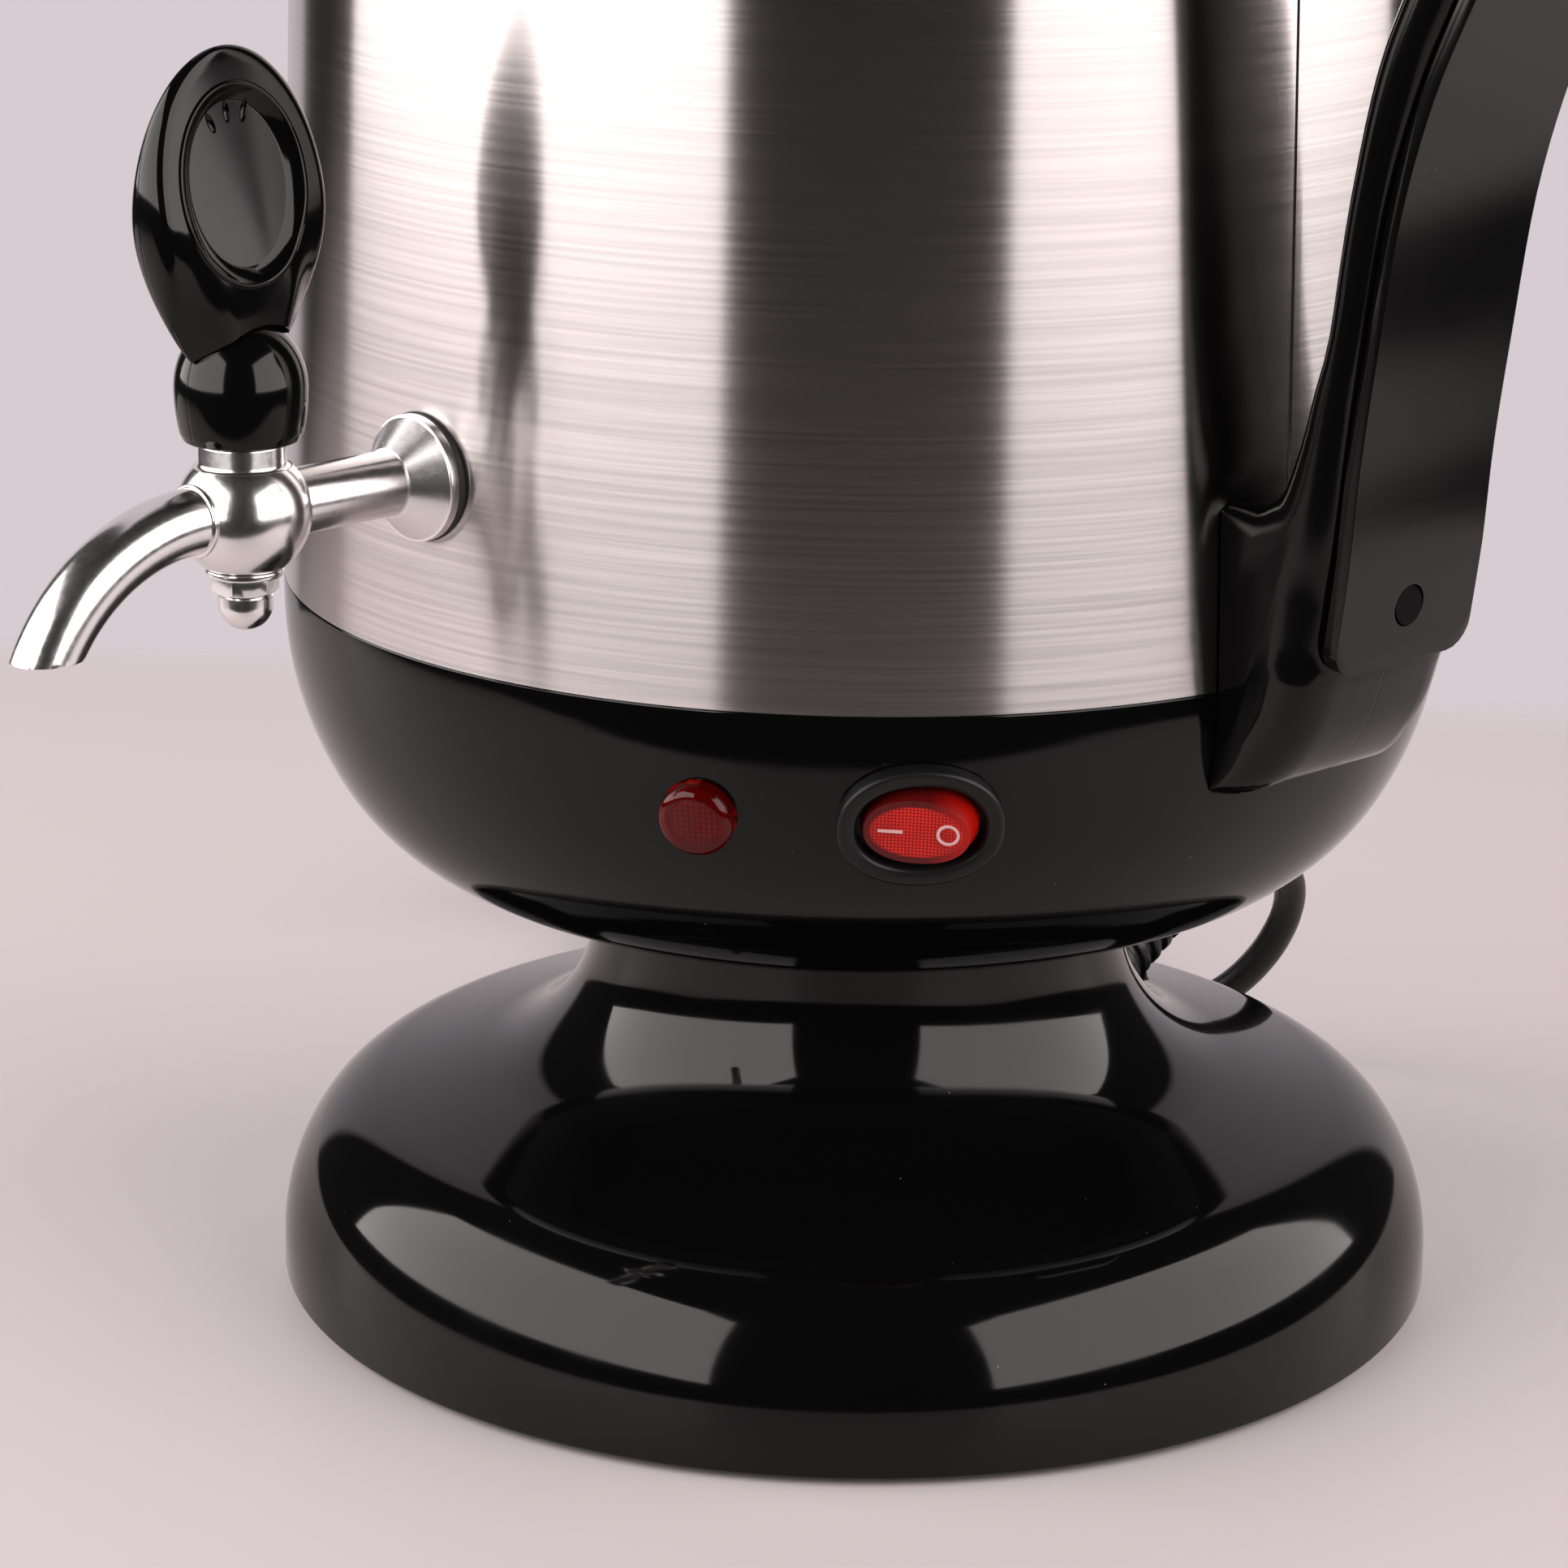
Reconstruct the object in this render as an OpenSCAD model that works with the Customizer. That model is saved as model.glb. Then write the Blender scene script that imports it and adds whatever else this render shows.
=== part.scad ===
// Electric samovar: a tapered steel boiler on a black bowl and pedestal, with a plug tap,
// two ear handles, a lift-off lid, a lit rocker switch, a lamp and a mains lead.
// Z is up, the table is at z = 0, the tap points along -Y and the handles lie along X.

/* [Boiler] */
// Diameter where the steel shell meets the bowl
body_d = 220; // [200:1:240]
// Diameter of the steel shell at its top edge
shell_top_d = 209; // [196:1:214]
// Height of the steel shell
shell_h = 205; // [180:1:240]
// Thickness of the steel sheet
shell_t = 0.8; // [0.6:0.1:1.2]
// Width of the lap seam down the shell
lap_w = 2.4; // [1.5:0.1:5]
// How far the lap seam stands proud
lap_proud = 0.3; // [0.2:0.05:0.6]
// Direction of the lap seam, from the tap towards the right handle
lap_angle = 87; // [78:1:100]
// Height of the boiler floor above the shell's lower edge
floor_up = 12; // [9:0.5:14]
// Thickness of the boiler floor
floor_t = 1; // [0.8:0.1:2]

/* [Bowl] */
// Wall of the bowl
bowl_wall = 3; // [2:0.1:4]
// Height of the straight band under the steel
bowl_band_h = 4.6; // [2:0.1:10]
// Radius of the bowl's upper side
bowl_side_r = 66; // [55:1:80]
// How far the upper side turns before the lower curve starts
bowl_turn = 30; // [20:1:40]
// Radius of the bowl's lower curve
bowl_under_r = 44; // [38:1:50]
// Height of the bowl's lip inside the shell
lip_h = 8; // [4:0.5:8]

/* [Pedestal] */
// Diameter of the pedestal's rim
base_d = 224.6; // [210:0.2:240]
// Height of the upright rim
rim_h = 6; // [4:0.5:12]
// Radius of the pedestal's side
base_side_r = 37; // [30:1:45]
// How far the side turns before the shoulder starts
base_turn = 36; // [25:1:45]
// Radius of the shoulder
shoulder_r = 22; // [15:1:28]
// Slope of the shoulder's top
shoulder_slope = 15; // [8:1:20]
// Radius of the flare between shoulder and neck
flare_r = 30; // [22:1:34]
// Diameter of the neck
neck_d = 103; // [96:1:110]
// Height of the straight neck
neck_h = 10.4; // [6:0.2:20]
// Wall of the pedestal
base_wall = 3; // [2:0.1:4]
// Thickness of the neck's top plate
web_t = 4; // [3:0.5:6]
// Gap between the rim and the table
foot_gap = 1; // [0.6:0.1:3]
// Thickness of the bottom cover
cover_t = 2.4; // [2:0.1:4]
// Diameter of a rubber foot
foot_d = 16; // [10:1:22]
// Radius of the circle that the feet stand on
foot_ring_r = 92; // [84:1:94]

/* [Tap] */
// Height of the tap's axis above the shell's lower edge
tap_rise = 31; // [30:0.5:60]
// Distance from the shell to the plug's axis
tap_reach = 39; // [34:0.5:60]
// Diameter of the inlet pipe and the spout
pipe_d = 11.5; // [10:0.1:12]
// Bore of the pipe and the spout
pipe_bore = 7.6; // [6:0.1:8]
// Diameter of the ball housing
ball_d = 21.8; // [21:0.2:26]
// Diameter of the turning plug
plug_d = 10; // [9:0.1:10.4]
// Diameter of the flange against the steel
flange_d = 23.2; // [20:0.2:28]
// Bend radius of the spout
spout_bend_r = 35; // [24:1:44]
// How far the spout's mouth lies below the tap's axis
spout_drop = 16.4; // [12:0.2:22]
// Diameter of the lever's hub
hub_d = 22.2; // [20:0.2:26]
// Height of the lever's hub
hub_h = 20; // [18:0.5:26]
// Width of the lever's paddle
paddle_w = 39.4; // [34:0.2:48]
// Height of the lever's paddle
paddle_h = 51; // [44:0.5:64]
// Thickness of the lever's paddle
paddle_t = 9; // [7:0.2:12]

/* [Switch and lamp] */
// Direction of the switch, from the tap towards the right handle
switch_angle = 50.5; // [44:0.5:54]
// Direction of the lamp, from the tap towards the right handle
lamp_angle = 30.2; // [24:0.2:34]
// Distance of both below the steel
panel_drop = 19.6; // [14:0.2:24]
// Width of the switch's oval bezel
bezel_w = 29; // [26:0.5:32]
// Height of the switch's oval bezel
bezel_h = 22.6; // [20:0.2:25]
// Thickness of the switch's bezel
bezel_t = 2.2; // [1.6:0.1:3]
// Length of the rocker
rocker_w = 21; // [18:0.2:22]
// Height of the rocker
rocker_h = 14.6; // [12:0.2:15.4]
// Tilt of the rocker each way
rocker_tilt = 10; // [6:1:12]
// Diameter of the lamp's lens
lens_d = 13.4; // [11:0.2:16]
// Diameter of the lamp's body behind the panel
lamp_body_d = 9.8; // [8:0.2:10.4]

/* [Handles] */
// Width of a handle
handle_w = 42; // [36:1:48]
// Width of a handle's cover
handle_cover_w = 36; // [30:1:40]
// Thickness of a handle's cover
handle_cover_t = 3; // [2.4:0.1:4]
// Height of the lower handle screw above the shell's lower edge
handle_screw_up = 16.6; // [14:0.2:22]

/* [Top] */
// Width of the collar's top over the shell's edge
collar_over = 4; // [3:0.5:6]
// Depth of the collar's skirt down the shell
collar_skirt = 14; // [12:0.5:20]
// Height of the collar above the shell's edge
collar_up = 9; // [7:0.5:12]
// Rise of the lid's dome
lid_rise = 24; // [14:1:34]
// Thickness of the lid
lid_t = 1.2; // [1:0.1:2]
// Height of the lid's knob
knob_h = 30; // [24:1:40]
// Diameter of the lid's knob
knob_d = 34; // [28:1:44]

/* [Mains lead] */
// Diameter of the lead
cord_d = 6.8; // [6:0.1:7]
// Step from one turn of the coil to the next
coil_step = 7.4; // [7.2:0.1:8]
// Radius of the coil's outer turn
coil_r = 44; // [43:0.5:47]
// Whole turns in the coil
coil_turns = 4; // [3:1:5]
// Length of the strain relief outside the pedestal
relief_len = 30; // [24:1:40]
// Diameter of the plug's body
mains_plug_d = 39; // [36:0.5:42]
// Thickness of the plug's body
mains_plug_h = 26; // [24:0.5:32]

/* [Hidden] */

$fn = 96;
arc_steps = 10;

// Clearances
seat_gap = 0.2;
run_gap = 0.05;
slide_gap = 0.3;
// How far a cutter runs past the face that it opens, and a length that goes through any wall
over = 1;
deep = 20;

// Levels and radii
body_r = body_d / 2;
shell_top_r = shell_top_d / 2;
base_r = base_d / 2;
neck_r = neck_d / 2;
rim_z = foot_gap;
side_c = [base_r - base_side_r, rim_z + rim_h];
shoulder_c = side_c + (base_side_r - shoulder_r) * [cos(base_turn), sin(base_turn)];
shoulder_end = shoulder_c + shoulder_r * [sin(shoulder_slope), cos(shoulder_slope)];
flare_x = neck_r + flare_r;
flare_start_x = flare_x - flare_r * sin(shoulder_slope);
flare_start_z = shoulder_end.y + (shoulder_end.x - flare_start_x) * tan(shoulder_slope);
flare_c = [flare_x, flare_start_z + flare_r * cos(shoulder_slope)];
neck_top_z = flare_c.y + neck_h;
bowl_h = bowl_band_h + (bowl_side_r - bowl_under_r) * sin(bowl_turn) + bowl_under_r;
seam_z = neck_top_z + bowl_h;
shell_top_z = seam_z + shell_h;
bowl_side_c = [body_r - bowl_side_r, seam_z - bowl_band_h];
bowl_under_c = bowl_side_c + (bowl_side_r - bowl_under_r) * [cos(bowl_turn), -sin(bowl_turn)];

function shell_r(z) = body_r - (body_r - shell_top_r) * (z - seam_z) / shell_h;

// Points along an arc about c
function arc(c, r, from, to) =
    [for (i = [0:arc_steps]) let (a = from + (to - from) * i / arc_steps) c + r * [cos(a), sin(a)]];
function reverse(list) = [for (i = [len(list) - 1:-1:0]) list[i]];

// A smooth line through a list of points, with a number of steps between each pair
function between(a, b, c, d, t) =
    0.5 * (2 * b + (c - a) * t + (2 * a - 5 * b + 4 * c - d) * t * t + (3 * b - a - 3 * c + d) * t * t * t);
function smooth(p, steps) = concat(
    [for (i = [0:len(p) - 2], k = [0:steps - 1])
        let (before = i == 0 ? 2 * p[0] - p[1] : p[i - 1],
             after = i == len(p) - 2 ? 2 * p[i + 1] - p[i] : p[i + 2])
        between(before, p[i], p[i + 1], after, k / steps)],
    [p[len(p) - 1]]);
// The same line moved sideways, to its right when positive
function beside(p, d) = [for (i = [0:len(p) - 1])
    let (t = p[min(i + 1, len(p) - 1)] - p[max(i - 1, 0)]) p[i] + d * [t.y, -t.x] / norm(t)];

// Half profiles of the bowl and the pedestal, moved inwards by an inset
function bowl_line(inset) = concat(
    [[body_r - inset, seam_z]],
    arc(bowl_side_c, bowl_side_r - inset, 0, -bowl_turn),
    arc(bowl_under_c, bowl_under_r - inset, -bowl_turn, -90));
function base_line(inset) = concat(
    [[base_r - inset, rim_z]],
    arc(side_c, base_side_r - inset, 0, base_turn),
    arc(shoulder_c, shoulder_r - inset, base_turn, 90 - shoulder_slope),
    arc(flare_c, flare_r + inset, 270 - shoulder_slope, 180),
    [[neck_r - inset, neck_top_z]]);

// The whole outside of bowl and shell, grown by a gap, for cutting what hugs it
module body_outside(gap) {
    rotate_extrude()
        polygon(concat(
            [[0, bowl_under_c.y - bowl_under_r - gap], [0, shell_top_z], [shell_top_r + gap, shell_top_z]],
            bowl_line(-gap)));
}
module base_outside(gap) {
    rotate_extrude()
        polygon(concat([[0, neck_top_z], [0, rim_z]], base_line(-gap)));
}
module ring(outer, inner, h) {
    difference() {
        cylinder(r = outer, h = h);
        translate([0, 0, -over])
            cylinder(r = inner, h = h + 2 * over);
    }
}
// Children on the bowl's wall: local Z points out of the wall and Y points up
panel_z = seam_z - panel_drop;
panel_tilt = asin((bowl_side_c.y - panel_z) / bowl_side_r);
panel_r = bowl_side_c.x + bowl_side_r * cos(panel_tilt);
module on_panel(angle) {
    rotate([0, 0, angle])
        translate([0, -panel_r, panel_z])
            rotate([90 + panel_tilt, 0, 0])
                children();
}
// Children on the shell at the tap: local Z points out of the shell and Y points up
tap_z = seam_z + tap_rise;
tap_wall_r = shell_r(tap_z);
module on_tap() {
    translate([0, -tap_wall_r, tap_z])
        rotate([90, 0, 0])
            children();
}
// Children at the plug's axis, upright, with the tap's axis at z = 0
plug_y = -tap_wall_r - tap_reach;
module at_plug() {
    translate([0, plug_y, tap_z])
        children();
}
module four_posts(r) {
    for (i = [0:3])
        rotate([0, 0, 45 + 90 * i])
            translate([r, 0, 0])
                children();
}

// Boiler

module boiler_shell() {
    color("silver")
        difference() {
            union() {
                rotate_extrude()
                    polygon([[body_r - shell_t, seam_z], [body_r, seam_z],
                             [shell_top_r, shell_top_z], [shell_top_r - shell_t, shell_top_z]]);
                lap_seam();
            }
            on_tap()
                translate([0, 0, -body_r / 4])
                    cylinder(d = pipe_d + 2 * seat_gap, h = body_r / 2);
            handle_top_holes();
        }
}
module lap_seam() {
    lap_top_z = shell_top_z - collar_skirt - slide_gap;
    intersection() {
        rotate_extrude()
            polygon([[body_r - shell_t / 2, seam_z], [body_r + lap_proud, seam_z],
                     [shell_r(lap_top_z) + lap_proud, lap_top_z],
                     [shell_r(lap_top_z) - shell_t / 2, lap_top_z]]);
        rotate([0, 0, lap_angle])
            translate([-lap_w / 2, -body_r - 2 * lap_proud, seam_z])
                cube([lap_w, body_r, shell_h]);
    }
}
floor_z = seam_z + floor_up;
floor_r = shell_r(floor_z) - shell_t - seat_gap;
skirt_t = 1;
module boiler_floor() {
    color("gainsboro") {
        translate([0, 0, floor_z - floor_t])
            cylinder(r = floor_r, h = floor_t);
        translate([0, 0, seam_z + slide_gap])
            ring(floor_r, floor_r - skirt_t, floor_up - slide_gap);
    }
}
plate_r = 72;
plate_t = 8;
plate_z = floor_z - floor_t - plate_t;
post_ring_r = 36;
screw_r = 2;
screw_bite = 5;
module heater_plate() {
    color("lightgray")
        translate([0, 0, plate_z])
            difference() {
                cylinder(r = plate_r, h = plate_t);
                four_posts(post_ring_r)
                    translate([0, 0, -over])
                        cylinder(r = screw_r + run_gap, h = screw_bite + slide_gap + over);
            }
}
heater_ring_r = 56;
heater_tube_r = 4;
heater_end_h = 22;
heater_open_a = 20;
heater_fn = 32;
module heater_tube() {
    color("dimgray")
        translate([0, 0, plate_z - heater_tube_r]) {
            rotate([0, 0, heater_open_a / 2])
                rotate_extrude(angle = 360 - heater_open_a)
                    translate([heater_ring_r, 0])
                        circle(r = heater_tube_r, $fn = heater_fn);
            for (side = [-1, 1])
                rotate([0, 0, side * heater_open_a / 2])
                    translate([heater_ring_r, 0, -heater_end_h])
                        cylinder(r = heater_tube_r, h = heater_end_h, $fn = heater_fn);
        }
}
thermostat_r = 14;
thermostat_h = 11;
module thermostat() {
    color("dimgray")
        translate([0, 0, plate_z - thermostat_h])
            cylinder(r = thermostat_r, h = thermostat_h);
}
cutout_size = [12, 20, 9];
cutout_y = thermostat_r + 12;
module thermal_cutout() {
    color("white")
        translate([-cutout_size.x / 2, cutout_y, plate_z - cutout_size.z])
            cube(cutout_size);
}
bowl_floor_z = neck_top_z + bowl_wall;
terminal_size = [34, 13, 12];
terminal_y = -50;
terminal_hole_r = 2;
module terminal_block() {
    color("white")
        translate([-terminal_size.x / 2, terminal_y, bowl_floor_z])
            difference() {
                cube(terminal_size);
                for (i = [0:2])
                    translate([terminal_size.x * (i + 0.5) / 3, terminal_size.y / 2, terminal_size.z / 2])
                        cylinder(r = terminal_hole_r, h = terminal_size.z);
            }
}

// Bowl and pedestal

lip_r = floor_r - skirt_t - slide_gap;
lip_t = 2.5;
post_r = 6;
wire_hole_r = 14;
module lower_bowl() {
    color("#141414")
        difference() {
            union() {
                rotate_extrude()
                    polygon(concat(bowl_line(0), [[wire_hole_r, neck_top_z], [wire_hole_r, bowl_floor_z]],
                                   reverse(bowl_line(bowl_wall))));
                translate([0, 0, seam_z - bowl_band_h])
                    ring(lip_r, lip_r - lip_t, bowl_band_h + lip_h);
                translate([0, 0, seam_z - bowl_band_h])
                    ring(body_r - bowl_wall / 2, lip_r - lip_t, bowl_band_h);
                four_posts(post_ring_r)
                    translate([0, 0, neck_top_z + bowl_wall / 2])
                        cylinder(r = post_r, h = plate_z - neck_top_z - bowl_wall / 2);
            }
            four_posts(post_ring_r)
                translate([0, 0, neck_top_z - over])
                    cylinder(r = screw_r + seat_gap, h = bowl_h + floor_up);
            on_panel(lamp_angle)
                panel_hole(lens_d, lamp_body_d);
            on_panel(switch_angle)
                switch_hole();
        }
}
// A flat seat with a round hole through the wall
panel_seat = 0.9;
module panel_hole(seat_d, hole_d) {
    translate([0, 0, -panel_seat])
        cylinder(d = seat_d + 2 * seat_gap, h = deep);
    translate([0, 0, -deep])
        cylinder(d = hole_d + 2 * seat_gap, h = 2 * deep);
}
module oval(w, h) {
    oval_power = 2.4;
    oval_points = 48;
    polygon([for (i = [0:oval_points - 1])
        let (a = 360 * i / oval_points, c = cos(a), s = sin(a))
        [w / 2 * sign(c) * pow(abs(c), 2 / oval_power), h / 2 * sign(s) * pow(abs(s), 2 / oval_power)]]);
}
box_wall = 1.5;
box_w = rocker_w + 2 * box_wall;
box_h = rocker_h + 2 * box_wall;
box_depth = 17;
module switch_hole() {
    translate([0, 0, -panel_seat])
        linear_extrude(deep)
            oval(bezel_w + 2 * seat_gap, bezel_h + 2 * seat_gap);
    translate([-box_w / 2 - seat_gap, -box_h / 2 - seat_gap, -deep])
        cube([box_w + 2 * seat_gap, box_h + 2 * seat_gap, 2 * deep]);
}
boss_ring_r = 84;
boss_r = 5;
cover_up = 1;
cover_z = rim_z + cover_up;
cover_top_z = cover_z + cover_t;
module three_bosses() {
    for (i = [0:2])
        rotate([0, 0, 90 + 120 * i])
            translate([boss_ring_r, 0, 0])
                children();
}
module pedestal() {
    color("#141414")
        difference() {
            union() {
                rotate_extrude()
                    polygon(concat(base_line(0),
                                   [[wire_hole_r, neck_top_z], [wire_hole_r, neck_top_z - web_t],
                                    [neck_r - base_wall, neck_top_z - web_t]],
                                   reverse([for (p = base_line(base_wall))
                                       if (p.y < neck_top_z - web_t) p])));
                intersection() {
                    base_outside(-base_wall / 2);
                    three_bosses()
                        translate([0, 0, cover_top_z])
                            cylinder(r = boss_r, h = neck_top_z - cover_top_z);
                }
            }
            four_posts(post_ring_r)
                translate([0, 0, neck_top_z - web_t - over])
                    cylinder(r = screw_r + seat_gap, h = web_t + 2 * over);
            three_bosses()
                translate([0, 0, cover_top_z - over])
                    cylinder(r = cover_screw_r + run_gap, h = cover_screw_bite + 2 * over);
            on_relief()
                translate([0, 0, -deep])
                    cylinder(d = relief_stub_d + 2 * seat_gap, h = 2 * deep);
        }
}
cover_screw_r = 1.5;
cover_screw_bite = 12;
screw_head_h = 1.5;
module base_cover() {
    color("#1c1c1c")
        translate([0, 0, cover_z])
            difference() {
                cylinder(r = base_r - base_wall - seat_gap, h = cover_t);
                three_bosses()
                    translate([0, 0, -over])
                        cylinder(r = cover_screw_r + seat_gap, h = cover_t + 2 * over);
            }
}
module foot(i) {
    color("#202020")
        rotate([0, 0, 45 + 90 * i])
            translate([foot_ring_r, 0, 0])
                cylinder(d = foot_d, h = cover_z);
}
module foot_1() { foot(0); }
module foot_2() { foot(1); }
module foot_3() { foot(2); }
module foot_4() { foot(3); }
module base_screws() {
    color("lightgray")
        four_posts(post_ring_r) {
            translate([0, 0, neck_top_z - web_t - 2 * screw_head_h])
                cylinder(r = 2 * screw_r, h = 2 * screw_head_h);
            translate([0, 0, neck_top_z - web_t])
                cylinder(r = screw_r, h = plate_z + screw_bite - neck_top_z + web_t);
        }
}
module cover_screws() {
    color("lightgray")
        three_bosses() {
            translate([0, 0, cover_z - screw_head_h])
                cylinder(r = 2 * cover_screw_r, h = screw_head_h);
            translate([0, 0, cover_z])
                cylinder(r = cover_screw_r, h = cover_t + cover_screw_bite);
        }
}

// Tap

pipe_r = pipe_d / 2;
ball_r = ball_d / 2;
plug_r = plug_d / 2;
socket_end = plug_r + 1.5;
socket_rim = sqrt(ball_r * ball_r - pipe_r * pipe_r);
gasket_t = 1.4;
gasket_d = flange_d + 1;
gasket_sink = 3;
flange_rim_t = 1.6;
flange_cone_h = 6.5;
flange_step = 0.4;
fine_fn = 360;
seal_t = 1.8;
inner_seal_r = 9.6;
lock_nut_t = 6;
lock_nut_r = 9.75;
neck_ring_r = 7.3;
neck_ring_top = 14.2;
ball_flat = 7.4;
module tap_gasket() {
    color("#151515")
        difference() {
            on_tap()
                difference() {
                    translate([0, 0, -gasket_sink])
                        cylinder(d = gasket_d, h = gasket_t + gasket_sink);
                    translate([0, 0, -deep])
                        cylinder(r = pipe_r + seat_gap, h = 2 * deep);
                }
            body_outside(run_gap, $fn = fine_fn);
        }
}
module tap_flange() {
    color("lightgray")
        on_tap()
            translate([0, 0, gasket_t])
                difference() {
                    union() {
                        cylinder(d = flange_d, h = flange_rim_t);
                        translate([0, 0, flange_rim_t])
                            cylinder(r1 = flange_d / 2 - flange_step, r2 = spout_ring_r, h = flange_cone_h);
                    }
                    translate([0, 0, -over])
                        cylinder(r = pipe_r + run_gap, h = deep);
                }
}
shank_past_nut = 3;
shank_inside = shell_t + seal_t + lock_nut_t + shank_past_nut;
module tap_shank() {
    color("lightgray")
        on_tap()
            translate([0, 0, -shank_inside])
                difference() {
                    cylinder(r = pipe_r, h = shank_inside + tap_reach - socket_end);
                    translate([0, 0, -over])
                        cylinder(d = pipe_bore, h = shank_inside + tap_reach);
                }
}
module tap_inner_seal() {
    color("#303030")
        intersection() {
            on_tap()
                translate([0, 0, -shell_t - seal_t])
                    ring(inner_seal_r, pipe_r + seat_gap, seal_t + over);
            translate([0, 0, tap_z - flange_d])
                cylinder(r1 = shell_r(tap_z - flange_d) - shell_t - run_gap,
                         r2 = shell_r(tap_z + flange_d) - shell_t - run_gap, h = 2 * flange_d, $fn = fine_fn);
        }
}
module tap_lock_nut() {
    color("darkgoldenrod")
        on_tap()
            translate([0, 0, -shell_t - seal_t - lock_nut_t])
                difference() {
                    cylinder(r = lock_nut_r, h = lock_nut_t, $fn = 6);
                    translate([0, 0, -over])
                        cylinder(r = pipe_r + run_gap, h = lock_nut_t + 2 * over);
                }
}
module tap_ball() {
    color("lightgray")
        at_plug()
            difference() {
                union() {
                    intersection() {
                        sphere(r = ball_r);
                        translate([0, 0, -ball_flat])
                            cylinder(r = ball_d, h = ball_d);
                    }
                    cylinder(r = neck_ring_r, h = neck_ring_top);
                }
                translate([0, 0, -ball_d])
                    cylinder(r = plug_r + run_gap, h = 2 * ball_d);
                for (side = [-1, 1])
                    rotate([90 * side, 0, 0])
                        translate([0, 0, socket_end]) {
                            cylinder(r = pipe_r + run_gap, h = ball_d);
                            translate([0, 0, -socket_end])
                                cylinder(d = pipe_bore, h = ball_d);
                        }
            }
}
// The spout: a straight start, a ring over the joint, a bend and a level cut at the mouth
spout_ring_r = pipe_r + 0.7;
spout_ring_t = 1.6;
spout_straight = socket_rim + run_gap + spout_ring_t / 2;
spout_turn = 85;
spout_counterbore = 0.3;
module spout_bend(r) {
    translate([0, -spout_straight, -spout_bend_r])
        rotate([90, 0, -90])
            rotate([0, 0, 90 - spout_turn])
                rotate_extrude(angle = spout_turn)
                    translate([spout_bend_r, 0])
                        circle(r = r);
}
module tap_spout() {
    color("lightgray")
        at_plug()
            difference() {
                union() {
                    rotate([90, 0, 0])
                        cylinder(r = pipe_r, h = spout_straight);
                    translate([0, -socket_rim - run_gap, 0])
                        rotate([90, 0, 0])
                            cylinder(r = spout_ring_r, h = spout_ring_t);
                    spout_bend(pipe_r);
                }
                rotate([90, 0, 0])
                    cylinder(r = pipe_bore / 2 + spout_counterbore, h = spout_straight + spout_ring_t / 2);
                spout_bend(pipe_bore / 2);
                translate([-ball_d, -socket_end, -ball_d])
                    cube(2 * ball_d);
                translate([-ball_d, -4 * ball_d, -4 * ball_d - spout_drop])
                    cube(4 * ball_d);
            }
}
stem_r = 3;
washer_t = 1.2;
washer_gap = 0.25;
washer_r = 6.7;
nut_t = 3;
stem_past_nut = 2.5;
stem_low = ball_flat + washer_gap + washer_t + nut_t + stem_past_nut;
hub_z = neck_ring_top + slide_gap;
plug_in_hub = 12;
plug_top = hub_z + plug_in_hub;
plug_bore = pipe_bore - 1;
module tap_plug() {
    color("darkgoldenrod")
        at_plug()
            difference() {
                union() {
                    translate([0, 0, -ball_flat])
                        cylinder(r = plug_r, h = ball_flat + plug_top);
                    translate([0, 0, -stem_low])
                        cylinder(r = stem_r, h = stem_low);
                }
                rotate([0, 90, 0])
                    cylinder(d = plug_bore, h = 2 * ball_d, center = true);
            }
}
hub_r = hub_d / 2;
hub_mid = 0.45 * hub_h;
hub_under = 1.8 * hub_mid;
hub_steps = 20;
paddle_sink = 4;
paddle_mid = hub_z + hub_h - paddle_sink + paddle_h / 2;
paddle_round = 4;
pad_w = 22;
pad_h = 34;
pad_depth = 1;
pad_up = 1;
module tap_lever() {
    color("#101010")
        at_plug()
            difference() {
                union() {
                    translate([0, 0, hub_z])
                        rotate_extrude()
                            polygon(concat([[0, 0]],
                                [for (i = [0:hub_steps])
                                    let (z = hub_h * i / hub_steps,
                                         reach = z < hub_mid ? hub_under : hub_h - hub_mid,
                                         part = (z - hub_mid) / reach)
                                    [max(hub_r * sqrt(max(1 - part * part, 0)), 0.01), z]],
                                [[0, hub_h]]));
                    translate([0, 0, paddle_mid])
                        rotate([90, 0, 90])
                            hull() {
                                translate([0, 0, -paddle_t / 2])
                                    linear_extrude(paddle_t)
                                        paddle_oval(paddle_w - paddle_round, paddle_h - paddle_round);
                                translate([0, 0, -paddle_t / 4])
                                    linear_extrude(paddle_t / 2)
                                        paddle_oval(paddle_w, paddle_h);
                            }
                }
                cylinder(r = plug_r + run_gap, h = plug_top + run_gap);
                for (side = [-1, 1])
                    translate([side * (paddle_t - pad_depth), 0, paddle_mid + pad_up])
                        rotate([90, 0, 90])
                            translate([0, 0, -paddle_t / 2])
                                linear_extrude(paddle_t)
                                    paddle_oval(pad_w, pad_h);
            }
}
module paddle_oval(w, h) {
    points = 40;
    polygon([for (i = [0:points - 1]) [w / 2 * cos(360 * i / points), h / 2 * sin(360 * i / points)]]);
}
module tap_washer() {
    color("lightgray")
        at_plug()
            translate([0, 0, -ball_flat - washer_gap - washer_t])
                ring(washer_r, stem_r + run_gap, washer_t);
}
nut_corner_r = 5.8;
nut_dome_r = 4.7;
nut_dome_straight = 2;
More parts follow.
